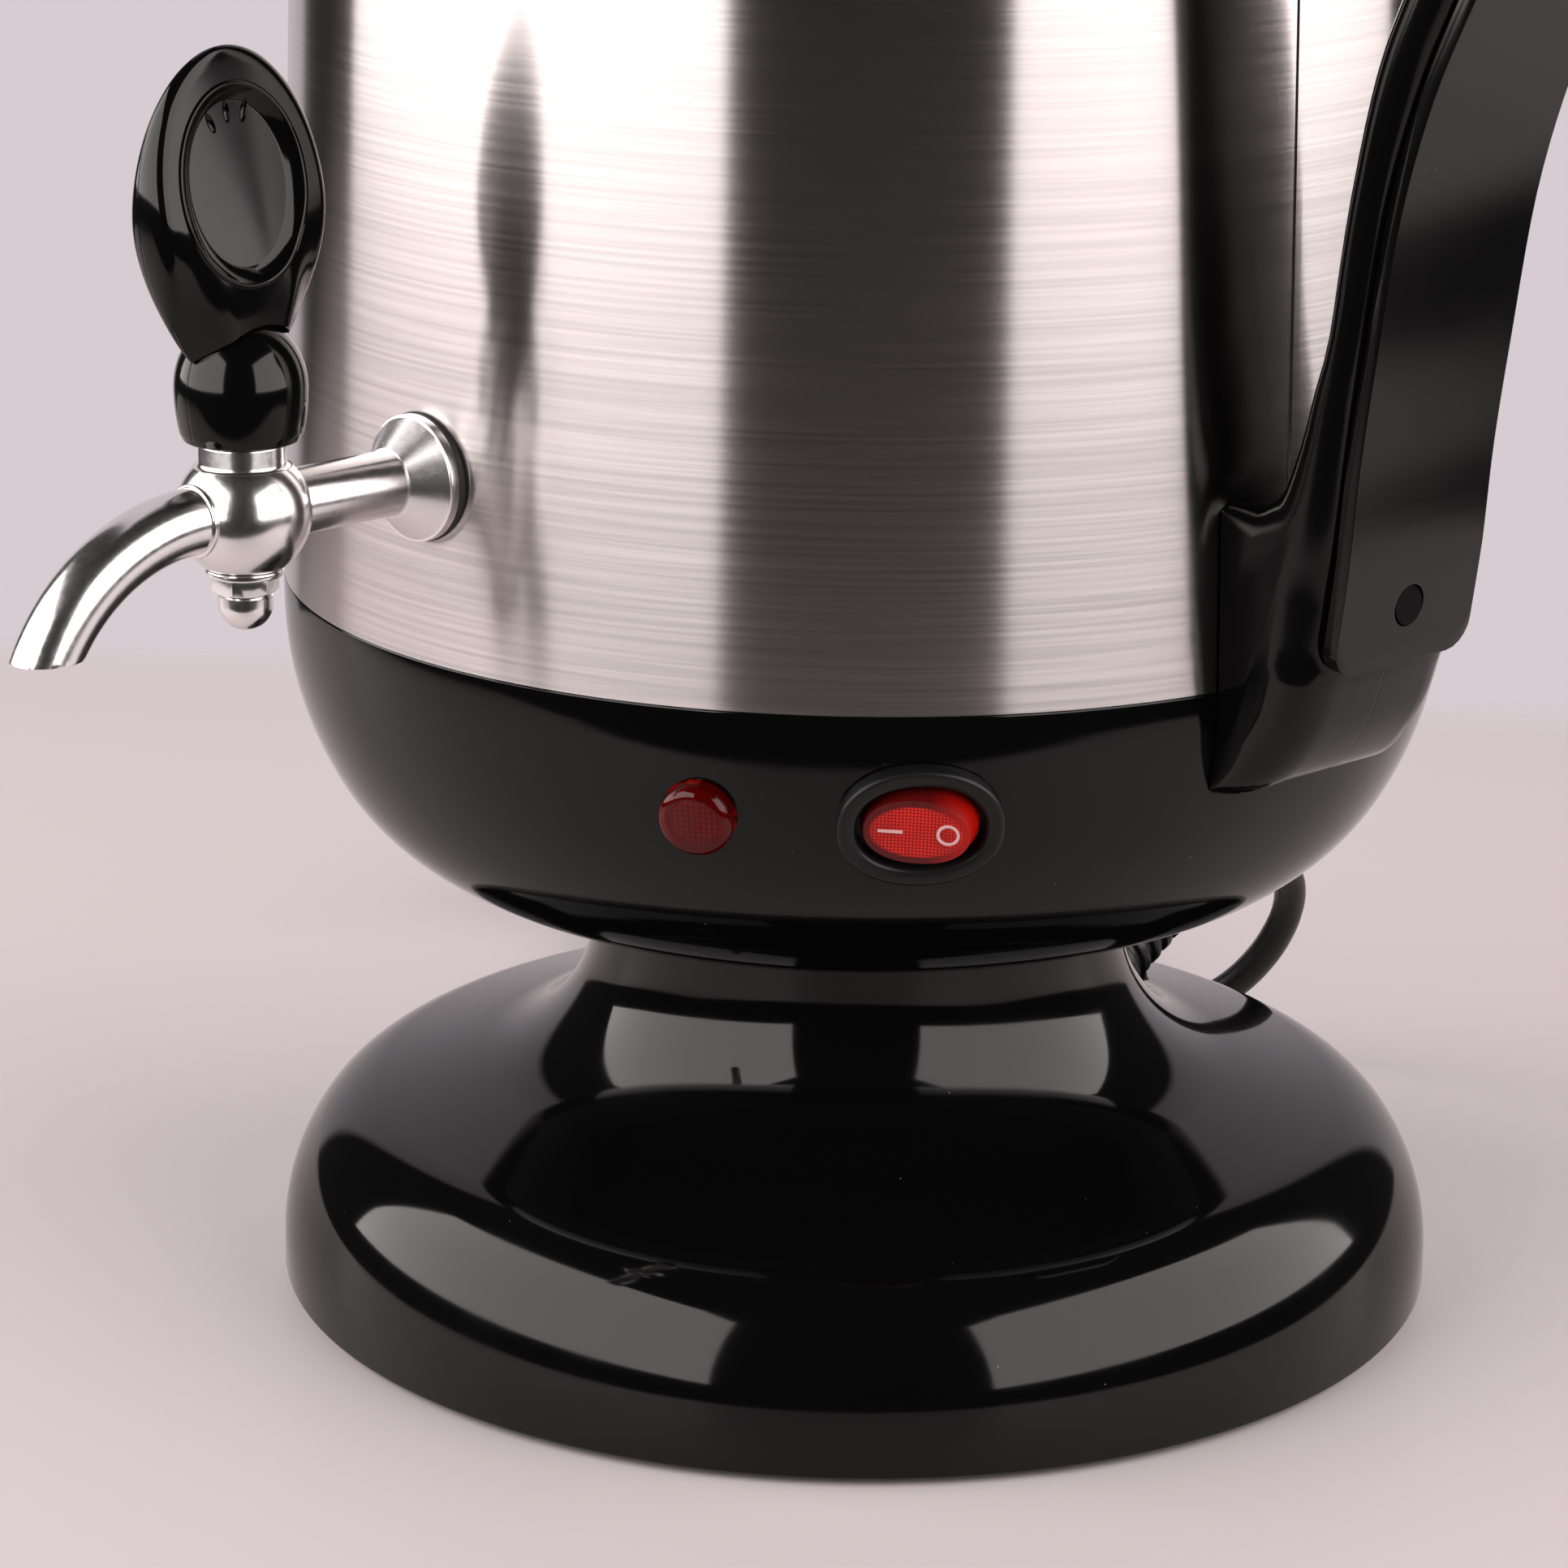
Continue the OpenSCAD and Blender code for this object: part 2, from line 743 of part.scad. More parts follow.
module tap_cap_nut() {
    color("lightgray")
        at_plug()
            translate([0, 0, -ball_flat - washer_gap - washer_t - nut_t])
                difference() {
                    union() {
                        cylinder(r = nut_corner_r, h = nut_t, $fn = 6);
                        intersection() {
                            translate([0, 0, -nut_dome_straight])
                                sphere(r = nut_dome_r);
                            translate([0, 0, -deep - nut_dome_straight])
                                cylinder(r = ball_r, h = deep);
                        }
                        translate([0, 0, -nut_dome_straight])
                            cylinder(r = nut_dome_r, h = nut_dome_straight);
                    }
                    translate([0, 0, -stem_past_nut - run_gap])
                        cylinder(r = stem_r + run_gap, h = deep);
                }
}

// Lamp and switch

lens_flange_h = 1.6;
lens_dome = 3.4;
lens_r = lens_d / 2;
dome_r = (lens_r * lens_r + lens_dome * lens_dome) / (2 * lens_dome);
lamp_len = 22;
lamp_nut_t = 2;
lamp_nut_d = lamp_body_d + 3;
wall_bow = 0.5;
module lamp_lens() {
    color([0.45, 0.03, 0.03, 0.8])
        on_panel(lamp_angle)
            translate([0, 0, -panel_seat]) {
                cylinder(d = lens_d, h = lens_flange_h + panel_seat);
                translate([0, 0, lens_flange_h + panel_seat])
                    intersection() {
                        translate([0, 0, lens_dome - dome_r])
                            sphere(r = dome_r);
                        cylinder(d = lens_d, h = lens_dome + over);
                    }
            }
}
module lamp_body() {
    color("#181818")
        on_panel(lamp_angle) {
            translate([0, 0, -panel_seat - lamp_len])
                cylinder(d = lamp_body_d, h = lamp_len);
            translate([0, 0, -bowl_wall - wall_bow - lamp_nut_t])
                cylinder(d = lamp_nut_d, h = lamp_nut_t);
        }
}
// The rocker turns about a pin along local Y
pivot_z = -2;
pocket_r = rocker_w / 2 + slide_gap;
rocker_r = pocket_r - slide_gap;
pin_r = 1.4;
pin_over = 1;
pin_len = rocker_h + 2 * pin_over;
module switch_housing() {
    color("#101010")
        on_panel(switch_angle)
            difference() {
                union() {
                    translate([0, 0, -panel_seat])
                        linear_extrude(bezel_t + panel_seat)
                            oval(bezel_w, bezel_h);
                    translate([-box_w / 2, -box_h / 2, -box_depth])
                        cube([box_w, box_h, box_depth]);
                }
                translate([0, 0, pivot_z])
                    rotate([90, 0, 0])
                        cylinder(r = pocket_r, h = rocker_h + 2 * slide_gap, center = true);
                translate([0, 0, pivot_z])
                    rotate([90, 0, 0])
                        cylinder(r = pin_r + run_gap, h = pin_len + 2 * slide_gap, center = true);
            }
}
rocker_crown = 3.4;
rocker_dip = 1.4;
rocker_under = 5;
module switch_rocker() {
    color([0.62, 0.05, 0.04, 0.85])
        on_panel(switch_angle)
            translate([0, 0, pivot_z])
                rotate([0, -rocker_tilt, 0]) {
                    rotate([90, 0, 0])
                        cylinder(r = pin_r, h = pin_len, center = true);
                    intersection() {
                        rotate([90, 0, 0])
                            cylinder(r = rocker_r, h = rocker_h, center = true);
                        rotate([90, 0, 0])
                            linear_extrude(rocker_h, center = true)
                                polygon([[-rocker_w, -rocker_under], [rocker_w, -rocker_under],
                                         [rocker_r, rocker_crown], [0, rocker_crown - rocker_dip],
                                         [-rocker_r, rocker_crown]]);
                    }
                }
}
nut_plate_rim = 3.5;
nut_plate_t = 2;
nut_plate_back = 3;
module switch_nut_plate() {
    hole = [box_w + 2 * seat_gap, box_h + 2 * seat_gap, 2 * nut_plate_t];
    color("#222222")
        on_panel(switch_angle)
            translate([0, 0, -bowl_wall - nut_plate_back - nut_plate_t / 2])
                difference() {
                    cube([box_w + 2 * nut_plate_rim, box_h + 2 * nut_plate_rim, nut_plate_t], center = true);
                    cube(hole, center = true);
                }
}

// Handles, with their lines as distances from the shell's lower and upper edges

low = [body_r, seam_z];
high = [shell_top_r, shell_top_z];
// Heights up from the lower edge are drawn for this shell and stretch with its height
handle_drawn_h = 205;
function up_handle(list) = [for (p = list) low + [p.x, p.y * shell_h / handle_drawn_h]];
cover_low = [[21, 6], [23.5, 25], [25, 43], [27.5, 62], [31.3, 87], [37, 107], [44, 123], [52, 139]];
cover_high = [[62.5, -46], [62.5, -28], [54, -12], [40, -3], [24, 0]];
inside_low = [[4, 33.4], [8, 37.4], [12, 46], [15, 56], [18, 66], [21, 88], [25, 110], [30, 124],
              [36.5, 140]];
inside_high = [[47.5, -46], [46.5, -31], [39, -20.5], [25, -14.5], [9, -13]];
line_steps = 4;
cover_curve = smooth(concat(up_handle(cover_low), [for (p = cover_high) p + high]), line_steps);
inside_curve = smooth(concat(up_handle(inside_low), [for (p = inside_high) p + high]), line_steps);
outer_curve = beside(cover_curve, -handle_cover_t - seat_gap);
inside_wall = 6;
handle_top_h = 13;
handle_foot_h = 33;
foot_bottom = [[-inside_wall, -19], [1.5, -18.4], [8.5, -14.2], [14.4, -6], [17.8, 4]];
handle_screw_z = seam_z + handle_screw_up;
handle_screw_r = 2;
handle_head_r = 3.5;
head_h = 1.8;
bracket_size = [8, 14, 12];
bracket_back = 2;
handle_screw_in = 2;
module extrude_handle(w) {
    translate([0, w / 2, 0])
        rotate([90, 0, 0])
            linear_extrude(w)
                children();
}
module handle_right() {
    color("#121212")
        difference() {
            extrude_handle(handle_w)
                polygon(concat(up_handle(smooth(foot_bottom, line_steps)), outer_curve,
                               [high + [-inside_wall, 0], high + [-inside_wall, -handle_top_h]],
                               reverse(inside_curve), up_handle([[-inside_wall, handle_foot_h]])));
            body_outside(lap_proud + seat_gap);
            translate([0, 0, shell_top_z - collar_skirt - slide_gap])
                cylinder(r = shell_top_r + collar_over + seat_gap, h = 2 * collar_skirt);
            translate([shell_r(handle_screw_z), 0, handle_screw_z])
                cube([2 * bracket_size.x + 2 * seat_gap, bracket_size.y + 2 * seat_gap,
                      bracket_size.z + 2 * seat_gap], center = true);
            translate([shell_r(handle_screw_z), 0, handle_screw_z])
                rotate([0, 90, 0])
                    cylinder(r = handle_screw_r + seat_gap, h = 2 * deep);
            handle_top_holes();
        }
}
module handle_left() {
    mirror([1, 0, 0])
        handle_right();
}
module handle_right_cover() {
    color("#0e0e0e")
        difference() {
            extrude_handle(handle_cover_w)
                polygon(concat(cover_curve, reverse(beside(cover_curve, -handle_cover_t))));
            handle_screw_hole();
        }
}
module handle_left_cover() {
    mirror([1, 0, 0])
        handle_right_cover();
}
// The seat of the screw's head is the face of the handle under the cover
handle_seat_x = lookup(handle_screw_z, [for (p = outer_curve) [p.y, p.x]]) + seat_gap;
head_seat_t = 1.2;
module handle_screw_hole() {
    translate([handle_seat_x, 0, handle_screw_z])
        rotate([0, 90, 0]) {
            cylinder(r = handle_screw_r + seat_gap, h = deep, center = true);
            translate([0, 0, head_seat_t])
                cylinder(r = handle_head_r + seat_gap, h = deep);
        }
}
module both_sides() {
    children();
    mirror([1, 0, 0])
        children();
}
module handle_brackets() {
    color("silver")
        both_sides()
            difference() {
                translate([shell_r(handle_screw_z) - bracket_back, -bracket_size.y / 2,
                           handle_screw_z - bracket_size.z / 2])
                    cube(bracket_size + [bracket_back, 0, 0]);
                body_outside(lap_proud + run_gap);
                translate([shell_r(handle_screw_z) + handle_screw_in - slide_gap, 0, handle_screw_z])
                    rotate([0, 90, 0])
                        cylinder(r = handle_screw_r + run_gap, h = deep);
            }
}
module handle_screws() {
    screw_start = shell_r(handle_screw_z) + handle_screw_in;
    head_x = handle_seat_x + head_seat_t;
    color("#303030")
        both_sides()
            translate([0, 0, handle_screw_z])
                rotate([0, 90, 0]) {
                    translate([0, 0, screw_start])
                        cylinder(r = handle_screw_r, h = head_x - screw_start);
                    translate([0, 0, head_x])
                        cylinder(r = handle_head_r, h = head_h);
                }
}
// The handle's upper end is screwed from inside the collar
top_screw_z = shell_top_z - 6.5;
top_screw_bite = 12;
collar_in = 3;
top_screw_len = collar_in + collar_over + top_screw_bite;
head_clear = 0.4;
module handle_top_holes() {
    both_sides()
        translate([shell_top_r - collar_in - deep, 0, top_screw_z])
            rotate([0, 90, 0])
                cylinder(r = handle_screw_r + seat_gap, h = deep + top_screw_len + over);
}
module handle_top_screws() {
    color("lightgray")
        both_sides()
            translate([shell_top_r - collar_in, 0, top_screw_z])
                rotate([0, 90, 0]) {
                    translate([0, 0, -head_h - head_clear])
                        cylinder(r = handle_head_r, h = head_h);
                    translate([0, 0, -head_clear])
                        cylinder(r = handle_screw_r, h = top_screw_len);
                }
}

// Collar and lid

ledge_up = 5;
ledge_in = 10;
ledge_t = 3;
collar_chamfer = [1.5, 3];
lid_in = 5;
module top_collar() {
    slot_out = shell_r(shell_top_z - collar_skirt) - shell_top_r + seat_gap;
    color("#141414")
        translate([0, 0, shell_top_z])
            difference() {
                rotate_extrude()
                    polygon([for (p = [[slot_out, -collar_skirt], [collar_over, -collar_skirt],
                                       [collar_over, collar_up - collar_chamfer.y],
                                       [collar_over - collar_chamfer.x, collar_up],
                                       [-lid_in, collar_up], [-lid_in, ledge_up], [-ledge_in, ledge_up],
                                       [-ledge_in, ledge_up - ledge_t], [-collar_in, ledge_up - ledge_t],
                                       [-collar_in, -collar_skirt + ledge_t],
                                       [-shell_t - slide_gap, -collar_skirt + ledge_t],
                                       [-shell_t - slide_gap, 0], [slot_out, 0]]) p + [shell_top_r, 0]]);
                translate([0, 0, -shell_top_z])
                    handle_top_holes();
            }
}
lid_r = shell_top_r - lid_in - slide_gap;
lid_z = shell_top_z + ledge_up;
lid_flat = 9;
seal_ring_t = 2;
lid_dome_r = ((lid_r - lid_flat) * (lid_r - lid_flat) + lid_rise * lid_rise) / (2 * lid_rise);
lid_dome_a = asin((lid_r - lid_flat) / lid_dome_r);
vent_r = 2;
module lid() {
    color("silver")
        translate([0, 0, lid_z])
            difference() {
                rotate_extrude()
                    polygon(concat(
                        [[lid_r, 0], [lid_r, lid_t]],
                        arc([0, lid_t + lid_rise - lid_dome_r], lid_dome_r, 90 - lid_dome_a, 90),
                        reverse(arc([0, lid_rise - lid_dome_r], lid_dome_r, 90 - lid_dome_a, 90))));
                cylinder(r = screw_r + seat_gap, h = lid_rise + deep);
                translate([0, lid_r / 2, 0])
                    cylinder(r = vent_r, h = lid_rise + deep);
            }
}
seal_depth = 3;
seal_ring_r = shell_top_r - ledge_in - slide_gap;
module lid_seal() {
    color("#e8e8e8")
        translate([0, 0, lid_z - seal_depth])
            ring(seal_ring_r, seal_ring_r - seal_ring_t, seal_depth);
}
knob_z = lid_z + lid_t + lid_rise;
knob_foot_r = 9;
knob_bite = 14;
module lid_knob() {
    color("#101010")
        translate([0, 0, knob_z])
            difference() {
                rotate_extrude()
                    polygon(concat([[0, 0], [knob_foot_r, 0], [knob_foot_r - 1.5, knob_h * 0.35]],
                        smooth([[knob_foot_r - 0.5, knob_h * 0.45], [knob_d / 2 - 2, knob_h * 0.62],
                                [knob_d / 2, knob_h * 0.74], [knob_d / 2 - 4, knob_h * 0.9],
                                [knob_d / 4, knob_h * 0.98]], line_steps),
                        [[0, knob_h]]));
                translate([0, 0, -over])
                    cylinder(r = screw_r + run_gap, h = knob_bite + over);
            }
}
module lid_knob_screw() {
    color("lightgray")
        translate([0, 0, knob_z - lid_t - slide_gap]) {
            translate([0, 0, -head_h])
                cylinder(r = 2 * screw_r, h = head_h);
            cylinder(r = screw_r, h = lid_t + knob_bite);
        }
}

// Mains lead: strain relief, free run, coil, tie and plug

cord_r = cord_d / 2;
relief_y = 72;
relief_lift = 25;
relief_stub = 10;
relief_stub_d = 9;
relief_tip_r = 4.8;
relief_root_r = 8.2;
relief_overlap = 4;
relief_z = shoulder_end.y + (shoulder_end.x - relief_y) * tan(shoulder_slope);
module on_relief() {
    translate([0, relief_y, relief_z])
        rotate([relief_lift - 90, 0, 0])
            children();
}
module cord_relief() {
    color("#161616") {
        difference() {
            on_relief()
                translate([0, 0, -relief_stub])
                    cylinder(r1 = relief_root_r, r2 = relief_tip_r, h = relief_len + relief_stub);
            base_outside(run_gap);
        }
        on_relief()
            translate([0, 0, -relief_stub])
                cylinder(d = relief_stub_d, h = relief_stub + relief_overlap);
    }
}
relief_way = [0, cos(relief_lift), sin(relief_lift)];
relief_tip = [0, relief_y, relief_z] + relief_len * relief_way;
tie_t = 0.6;
tie_gap = 0.2;
tie_lift = 0.1;
coil_z = cord_r + tie_gap + tie_t + tie_lift;
coil_c = [-118, 118];
coil_in_a = -35;
coil_out_a = 225;
coil_sweep = 360 * coil_turns + 360 + coil_in_a - coil_out_a;
function coil_way(a) = [sin(a), -cos(a), 0];
function coil_at(s) =
    let (a = coil_in_a - s,
         r = coil_r - coil_step * min(s, coil_sweep - s) / 360,
         u = min(max((s - coil_sweep / 2) / 180 + 0.5, 0), 1))
    [coil_c.x + r * cos(a), coil_c.y + r * sin(a), coil_z + coil_step * u * u * (3 - 2 * u)];
rings_per_turn = 24;
coil_count = rings_per_turn * (coil_turns + 1);
coil_path = concat(
    [coil_at(0) - cord_d * coil_way(coil_in_a)],
    [for (i = [0:coil_count]) coil_at(coil_sweep * i / coil_count)],
    [coil_at(coil_sweep) + cord_d * coil_way(coil_out_a)]);
// The least gap between turns, from each point of the coil to those half a turn or more away
half_turn = coil_count * 180 / coil_sweep;
coil_gap = min([for (i = [0:coil_count], j = [0:coil_count])
    if (j - i >= half_turn) norm(coil_path[j + 1] - coil_path[i + 1]) - cord_d]);
// Hand-chosen points of the free run: out of the relief, over and down to the table, round the base
cord_hang = [[0, 105.4, 57.5], [0, 112, 58.1], [-0.5, 119, 57.1], [-1.5, 126, 54.2], [-3, 132, 49.6],
             [-5, 136.4, 44], [-8, 139.3, 37.6], [-12, 140.9, 30.8], [-17, 141.7, 24], [-23, 141.6, 17.4],
             [-30, 140.4, 11.6], [-38, 137.8, 7.4], [-46.5, 133.6, 5]];
cord_lie = [[-55, 127.8], [-63.4, 120.3], [-71.6, 110.6]];
cord_path = concat([relief_tip], cord_hang, [for (p = cord_lie) [p.x, p.y, coil_z]], [coil_path[0]]);

// A closed tube along a path, with flat ends
function way(p, i) = let (t = p[min(i + 1, len(p) - 1)] - p[max(i - 1, 0)]) t / norm(t);
module tube(p, r, sides, first, last) {
    n = len(p);
    rings = [for (i = [0:n - 1])
        let (t = i == 0 ? first : i == n - 1 ? last : way(p, i),
             across = cross(t, [0, 0, 1]),
             u = across / norm(across),
             v = cross(u, t))
        for (k = [0:sides - 1]) p[i] + r * (cos(360 * k / sides) * u + sin(360 * k / sides) * v)];
    walls = [for (i = [0:n - 2], k = [0:sides - 1])
        let (a = i * sides + k, b = i * sides + (k + 1) % sides)
        each [[a, b, a + sides], [b, b + sides, a + sides]]];
    start_cap = [for (k = [1:sides - 2]) [0, k + 1, k]];
    end_base = (n - 1) * sides;
    end_cap = [for (k = [1:sides - 2]) [end_base, end_base + k, end_base + k + 1]];
    polyhedron(rings, concat(walls, start_cap, end_cap));
}
cord_sides = 10;
coil_sides = 6;
module cord() {
    color("#181818")
        tube(cord_path, cord_r, cord_sides, relief_way, coil_way(coil_in_a));
}
module cord_coil() {
    color("#181818")
        tube(coil_path, cord_r, coil_sides, coil_way(coil_in_a), coil_way(coil_out_a));
}
// The strap that holds the coil's turns together
tie_a = 95;
tie_w = 12;
coil_inner_r = coil_r - coil_step * coil_sweep / 720;
module cord_tie() {
    around = cord_d + 2 * tie_gap;
    inner = [coil_r - coil_inner_r + around, tie_w + 2 * over, coil_step + around];
    outer = [inner.x + 2 * tie_t, tie_w, inner.z + 2 * tie_t];
    color("#202020")
        translate([coil_c.x, coil_c.y, coil_z + coil_step / 2])
            rotate([0, 0, tie_a])
                translate([(coil_r + coil_inner_r) / 2, 0, 0])
                    difference() {
                        cube(outer, center = true);
                        cube(inner, center = true);
                    }
}
plug_start = coil_path[len(coil_path) - 1];
plug_relief_len = 22;
plug_relief_in = 6;
plug_relief_grow = 2;
plug_body_r = mains_plug_d / 2;
pin_spacing = 19;
mains_pin_r = 2.4;
mains_pin_len = 19;
module at_mains_plug() {
    translate([plug_start.x, plug_start.y, 0])
        rotate([0, 0, coil_out_a - 90])
            translate([plug_relief_len + plug_body_r - plug_relief_grow, 0, 0])
                children();
}
module mains_plug() {
    color("#161616") {
        at_mains_plug()
            cylinder(r = plug_body_r, h = mains_plug_h);
        translate(plug_start)
            rotate([0, 90, coil_out_a - 90])
                cylinder(r1 = relief_tip_r, r2 = relief_tip_r + plug_relief_grow,
                         h = plug_relief_len + plug_relief_in);
    }
}
module mains_plug_pins() {
    color("gainsboro")
        at_mains_plug()
            for (side = [-1, 1])
                translate([0, side * pin_spacing / 2, mains_plug_h])
                    cylinder(r = mains_pin_r, h = mains_pin_len, $fn = 32);
}

// Printed for the record: lengths of the lead and the axes that turn
function length_of(p) = [for (i = [1:len(p) - 1]) norm(p[i] - p[i - 1])] * [for (i = [1:len(p) - 1]) 1];
echo(lead_length = length_of(cord_path) + length_of(coil_path), coil_length = length_of(coil_path));
echo(coil_gap = coil_gap);
echo(tap_axis = [0, plug_y, tap_z]);
panel_out = [sin(switch_angle) * cos(panel_tilt), -cos(switch_angle) * cos(panel_tilt), -sin(panel_tilt)];
panel_up = [sin(switch_angle) * sin(panel_tilt), -cos(switch_angle) * sin(panel_tilt), cos(panel_tilt)];
panel_point = [panel_r * sin(switch_angle), -panel_r * cos(switch_angle), panel_z];
echo(rocker_axis = panel_point + pivot_z * panel_out, rocker_way = panel_up);

boiler_shell();
boiler_floor();
heater_plate();
heater_tube();
thermostat();
thermal_cutout();
terminal_block();
lower_bowl();
pedestal();
base_cover();
foot_1();
foot_2();
foot_3();
foot_4();
base_screws();
cover_screws();
tap_shank();
tap_flange();
tap_gasket();
tap_inner_seal();
tap_lock_nut();
tap_ball();
tap_spout();
tap_plug();
tap_lever();
tap_washer();
tap_cap_nut();
lamp_lens();
lamp_body();
switch_housing();
switch_rocker();
switch_nut_plate();
handle_right();
handle_left();
handle_right_cover();
handle_left_cover();
handle_brackets();
handle_screws();
handle_top_screws();
top_collar();
lid();
lid_seal();
lid_knob();
lid_knob_screw();
cord_relief();
cord();
cord_coil();
cord_tie();
mains_plug();
mains_plug_pins();
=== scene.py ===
"""The looks of an electric samovar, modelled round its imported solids.

Sizes are in millimetres unless a name says otherwise, and meshes are in metres. The frame is the one of
the solids: Z is up, the table is at zero, the tap points along -Y and the handles lie along X.
"""

import logging
import math
from dataclasses import dataclass, field
from enum import Enum
from typing import Any, Sequence

import bpy
from mathutils import Matrix, Vector


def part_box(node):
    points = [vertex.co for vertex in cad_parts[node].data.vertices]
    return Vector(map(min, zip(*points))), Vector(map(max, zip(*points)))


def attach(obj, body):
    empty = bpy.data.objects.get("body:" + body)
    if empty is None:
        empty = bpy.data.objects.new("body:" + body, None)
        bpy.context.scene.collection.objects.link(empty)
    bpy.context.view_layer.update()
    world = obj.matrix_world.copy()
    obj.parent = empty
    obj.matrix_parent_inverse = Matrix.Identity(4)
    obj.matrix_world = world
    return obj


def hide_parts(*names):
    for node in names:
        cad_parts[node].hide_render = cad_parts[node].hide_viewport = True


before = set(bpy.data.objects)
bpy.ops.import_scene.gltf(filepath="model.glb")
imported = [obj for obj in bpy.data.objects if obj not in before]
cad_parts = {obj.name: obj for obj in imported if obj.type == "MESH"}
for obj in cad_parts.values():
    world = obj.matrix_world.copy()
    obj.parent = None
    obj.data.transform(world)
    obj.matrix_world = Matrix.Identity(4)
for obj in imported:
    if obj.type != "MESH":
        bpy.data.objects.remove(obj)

LOG = logging.getLogger("samovar")
MM = 0.001
UPRIGHT = Matrix.Identity(4)
BODY_R = 110.0
SHELL_TOP_R = 104.5
BODY_STEPS = 192
ROUND_STEPS = 160
TAP_STEPS = 128
RING_STEPS = 96
SMALL_STEPS = 64
HOLE_STEPS = 48
HEX_SIDES = 6
MERGE_DISTANCE = 1e-6
CORNER_SHARE = 0.48
SMOOTH_ANGLE = 35.0

Point = tuple[float, float]
Colour = tuple[float, float, float, float]


class Body(Enum):
    """The bodies that pieces ride on."""

    FRAME = "body"
    TAP_KEY = "tap_key"
    ROCKER = "rocker"
    LID = "lid"


class Cut(Enum):
    """What a tool does to the piece that it meets."""

    AWAY = "DIFFERENCE"
    KEEP = "INTERSECT"
    ADD = "UNION"


# Outlines


def arc(centre: Point, radius: float, start: float, end: float, steps: int = 16) -> list[Point]:
    """Points along an arc.

    Args:
        centre: Middle of the circle.
        radius: Radius of the circle.
        start: First angle, in degrees.
        end: Last angle, in degrees.
        steps: Number of chords.

    Returns:
        The points, both ends included.
    """
    angles = [math.radians(start + (end - start) * i / steps) for i in range(steps + 1)]
    return [(centre[0] + radius * math.cos(a), centre[1] + radius * math.sin(a)) for a in angles]


def rectangle(left: float, low: float, right: float, high: float) -> list[Point]:
    """The four corners of a rectangle, from its lower left one round."""
    return [(left, low), (right, low), (right, high), (left, high)]


def rounded(corners: Sequence[Point], radius: float, steps: int = 4) -> list[Point]:
    """Round every corner of a closed outline.

    Args:
        corners: The outline's corners in order.
        radius: How far from a corner its rounding starts, less where an edge is short.
        steps: Number of chords in a rounding.

    Returns:
        The rounded outline.
    """
    points = []
    for i, corner in enumerate(corners):
        here = Vector(corner)
        back = Vector(corners[i - 1]) - here
        ahead = Vector(corners[(i + 1) % len(corners)]) - here
        reach = min(radius, CORNER_SHARE * back.length, CORNER_SHARE * ahead.length)
        first = here + back.normalized() * reach
        last = here + ahead.normalized() * reach
        for k in range(steps + 1):
            t = k / steps
            points.append(tuple(first * (1 - t) ** 2 + here * 2 * t * (1 - t) + last * t * t))
    return points


def smooth(points: Sequence[Sequence[float]], steps: int) -> list[Vector]:
    """A smooth line through points.

    Args:
        points: Points that the line passes through.
        steps: Number of chords between two points.

    Returns:
        The points of the smooth line.
    """
    spots = [Vector(p) for p in points]
    spots = [2 * spots[0] - spots[1], *spots, 2 * spots[-1] - spots[-2]]
    line = []
    for a, b, c, d in zip(spots, spots[1:], spots[2:], spots[3:]):
        for k in range(steps):
            t = k / steps
            line.append(0.5 * (2 * b + (c - a) * t + (2 * a - 5 * b + 4 * c - d) * t ** 2
                               + (3 * b - a - 3 * c + d) * t ** 3))
    return [*line, spots[-2]]


def beside(line: Sequence[Vector], distance: Sequence[float] | float) -> list[Vector]:
    """A flat line moved sideways, to its right where the distance is positive.

    Args:
        line: Points of the line.
        distance: One distance for all points, or one for each.

    Returns:
        The moved points.
    """
    moved = []
    for i, here in enumerate(line):
        way = line[min(i + 1, len(line) - 1)] - line[max(i - 1, 0)]
        reach = distance if isinstance(distance, (int, float)) else distance[i]
        moved.append(here + reach * Vector((way.y, -way.x)).normalized())
    return moved


def oval(width: float, height: float, power: float = 2.0, count: int = 96) -> list[Point]:
    """A closed oval, rounder at power 2 and squarer above it."""
    points = []
    for i in range(count):
        c = math.cos(2 * math.pi * i / count)
        s = math.sin(2 * math.pi * i / count)
        points.append((width / 2 * math.copysign(abs(c) ** (2 / power), c),
                       height / 2 * math.copysign(abs(s) ** (2 / power), s)))
    return points


# Modelling


def clear_selection() -> None:
    """Leave edit mode and deselect everything."""
    if bpy.context.mode != "OBJECT":
        bpy.ops.object.mode_set(mode="OBJECT")
    bpy.ops.object.select_all(action="DESELECT")


def pick(piece: bpy.types.Object) -> None:
    """Make a piece the only selected and active object."""
    clear_selection()
    piece.select_set(True)
    bpy.context.view_layer.objects.active = piece


def draw(spots: Sequence[Vector]) -> None:
    """Draw a line of edges: a small plane merged to one vertex, extruded from spot to spot.

    Args:
        spots: Points of the line, in metres.
    """
    bpy.ops.mesh.primitive_plane_add(size=MM, location=spots[0])
    if bpy.context.mode == "OBJECT":
        bpy.ops.object.mode_set(mode="EDIT")
    bpy.ops.mesh.merge(type="CENTER")
    for here, there in zip(spots, spots[1:]):
        bpy.ops.mesh.extrude_vertices_move(TRANSFORM_OT_translate={"value": there - here})


def weld() -> None:
    """Select the whole mesh in edit mode and merge points that lie together."""
    bpy.ops.mesh.select_all(action="SELECT")
    bpy.ops.mesh.remove_doubles(threshold=MERGE_DISTANCE)


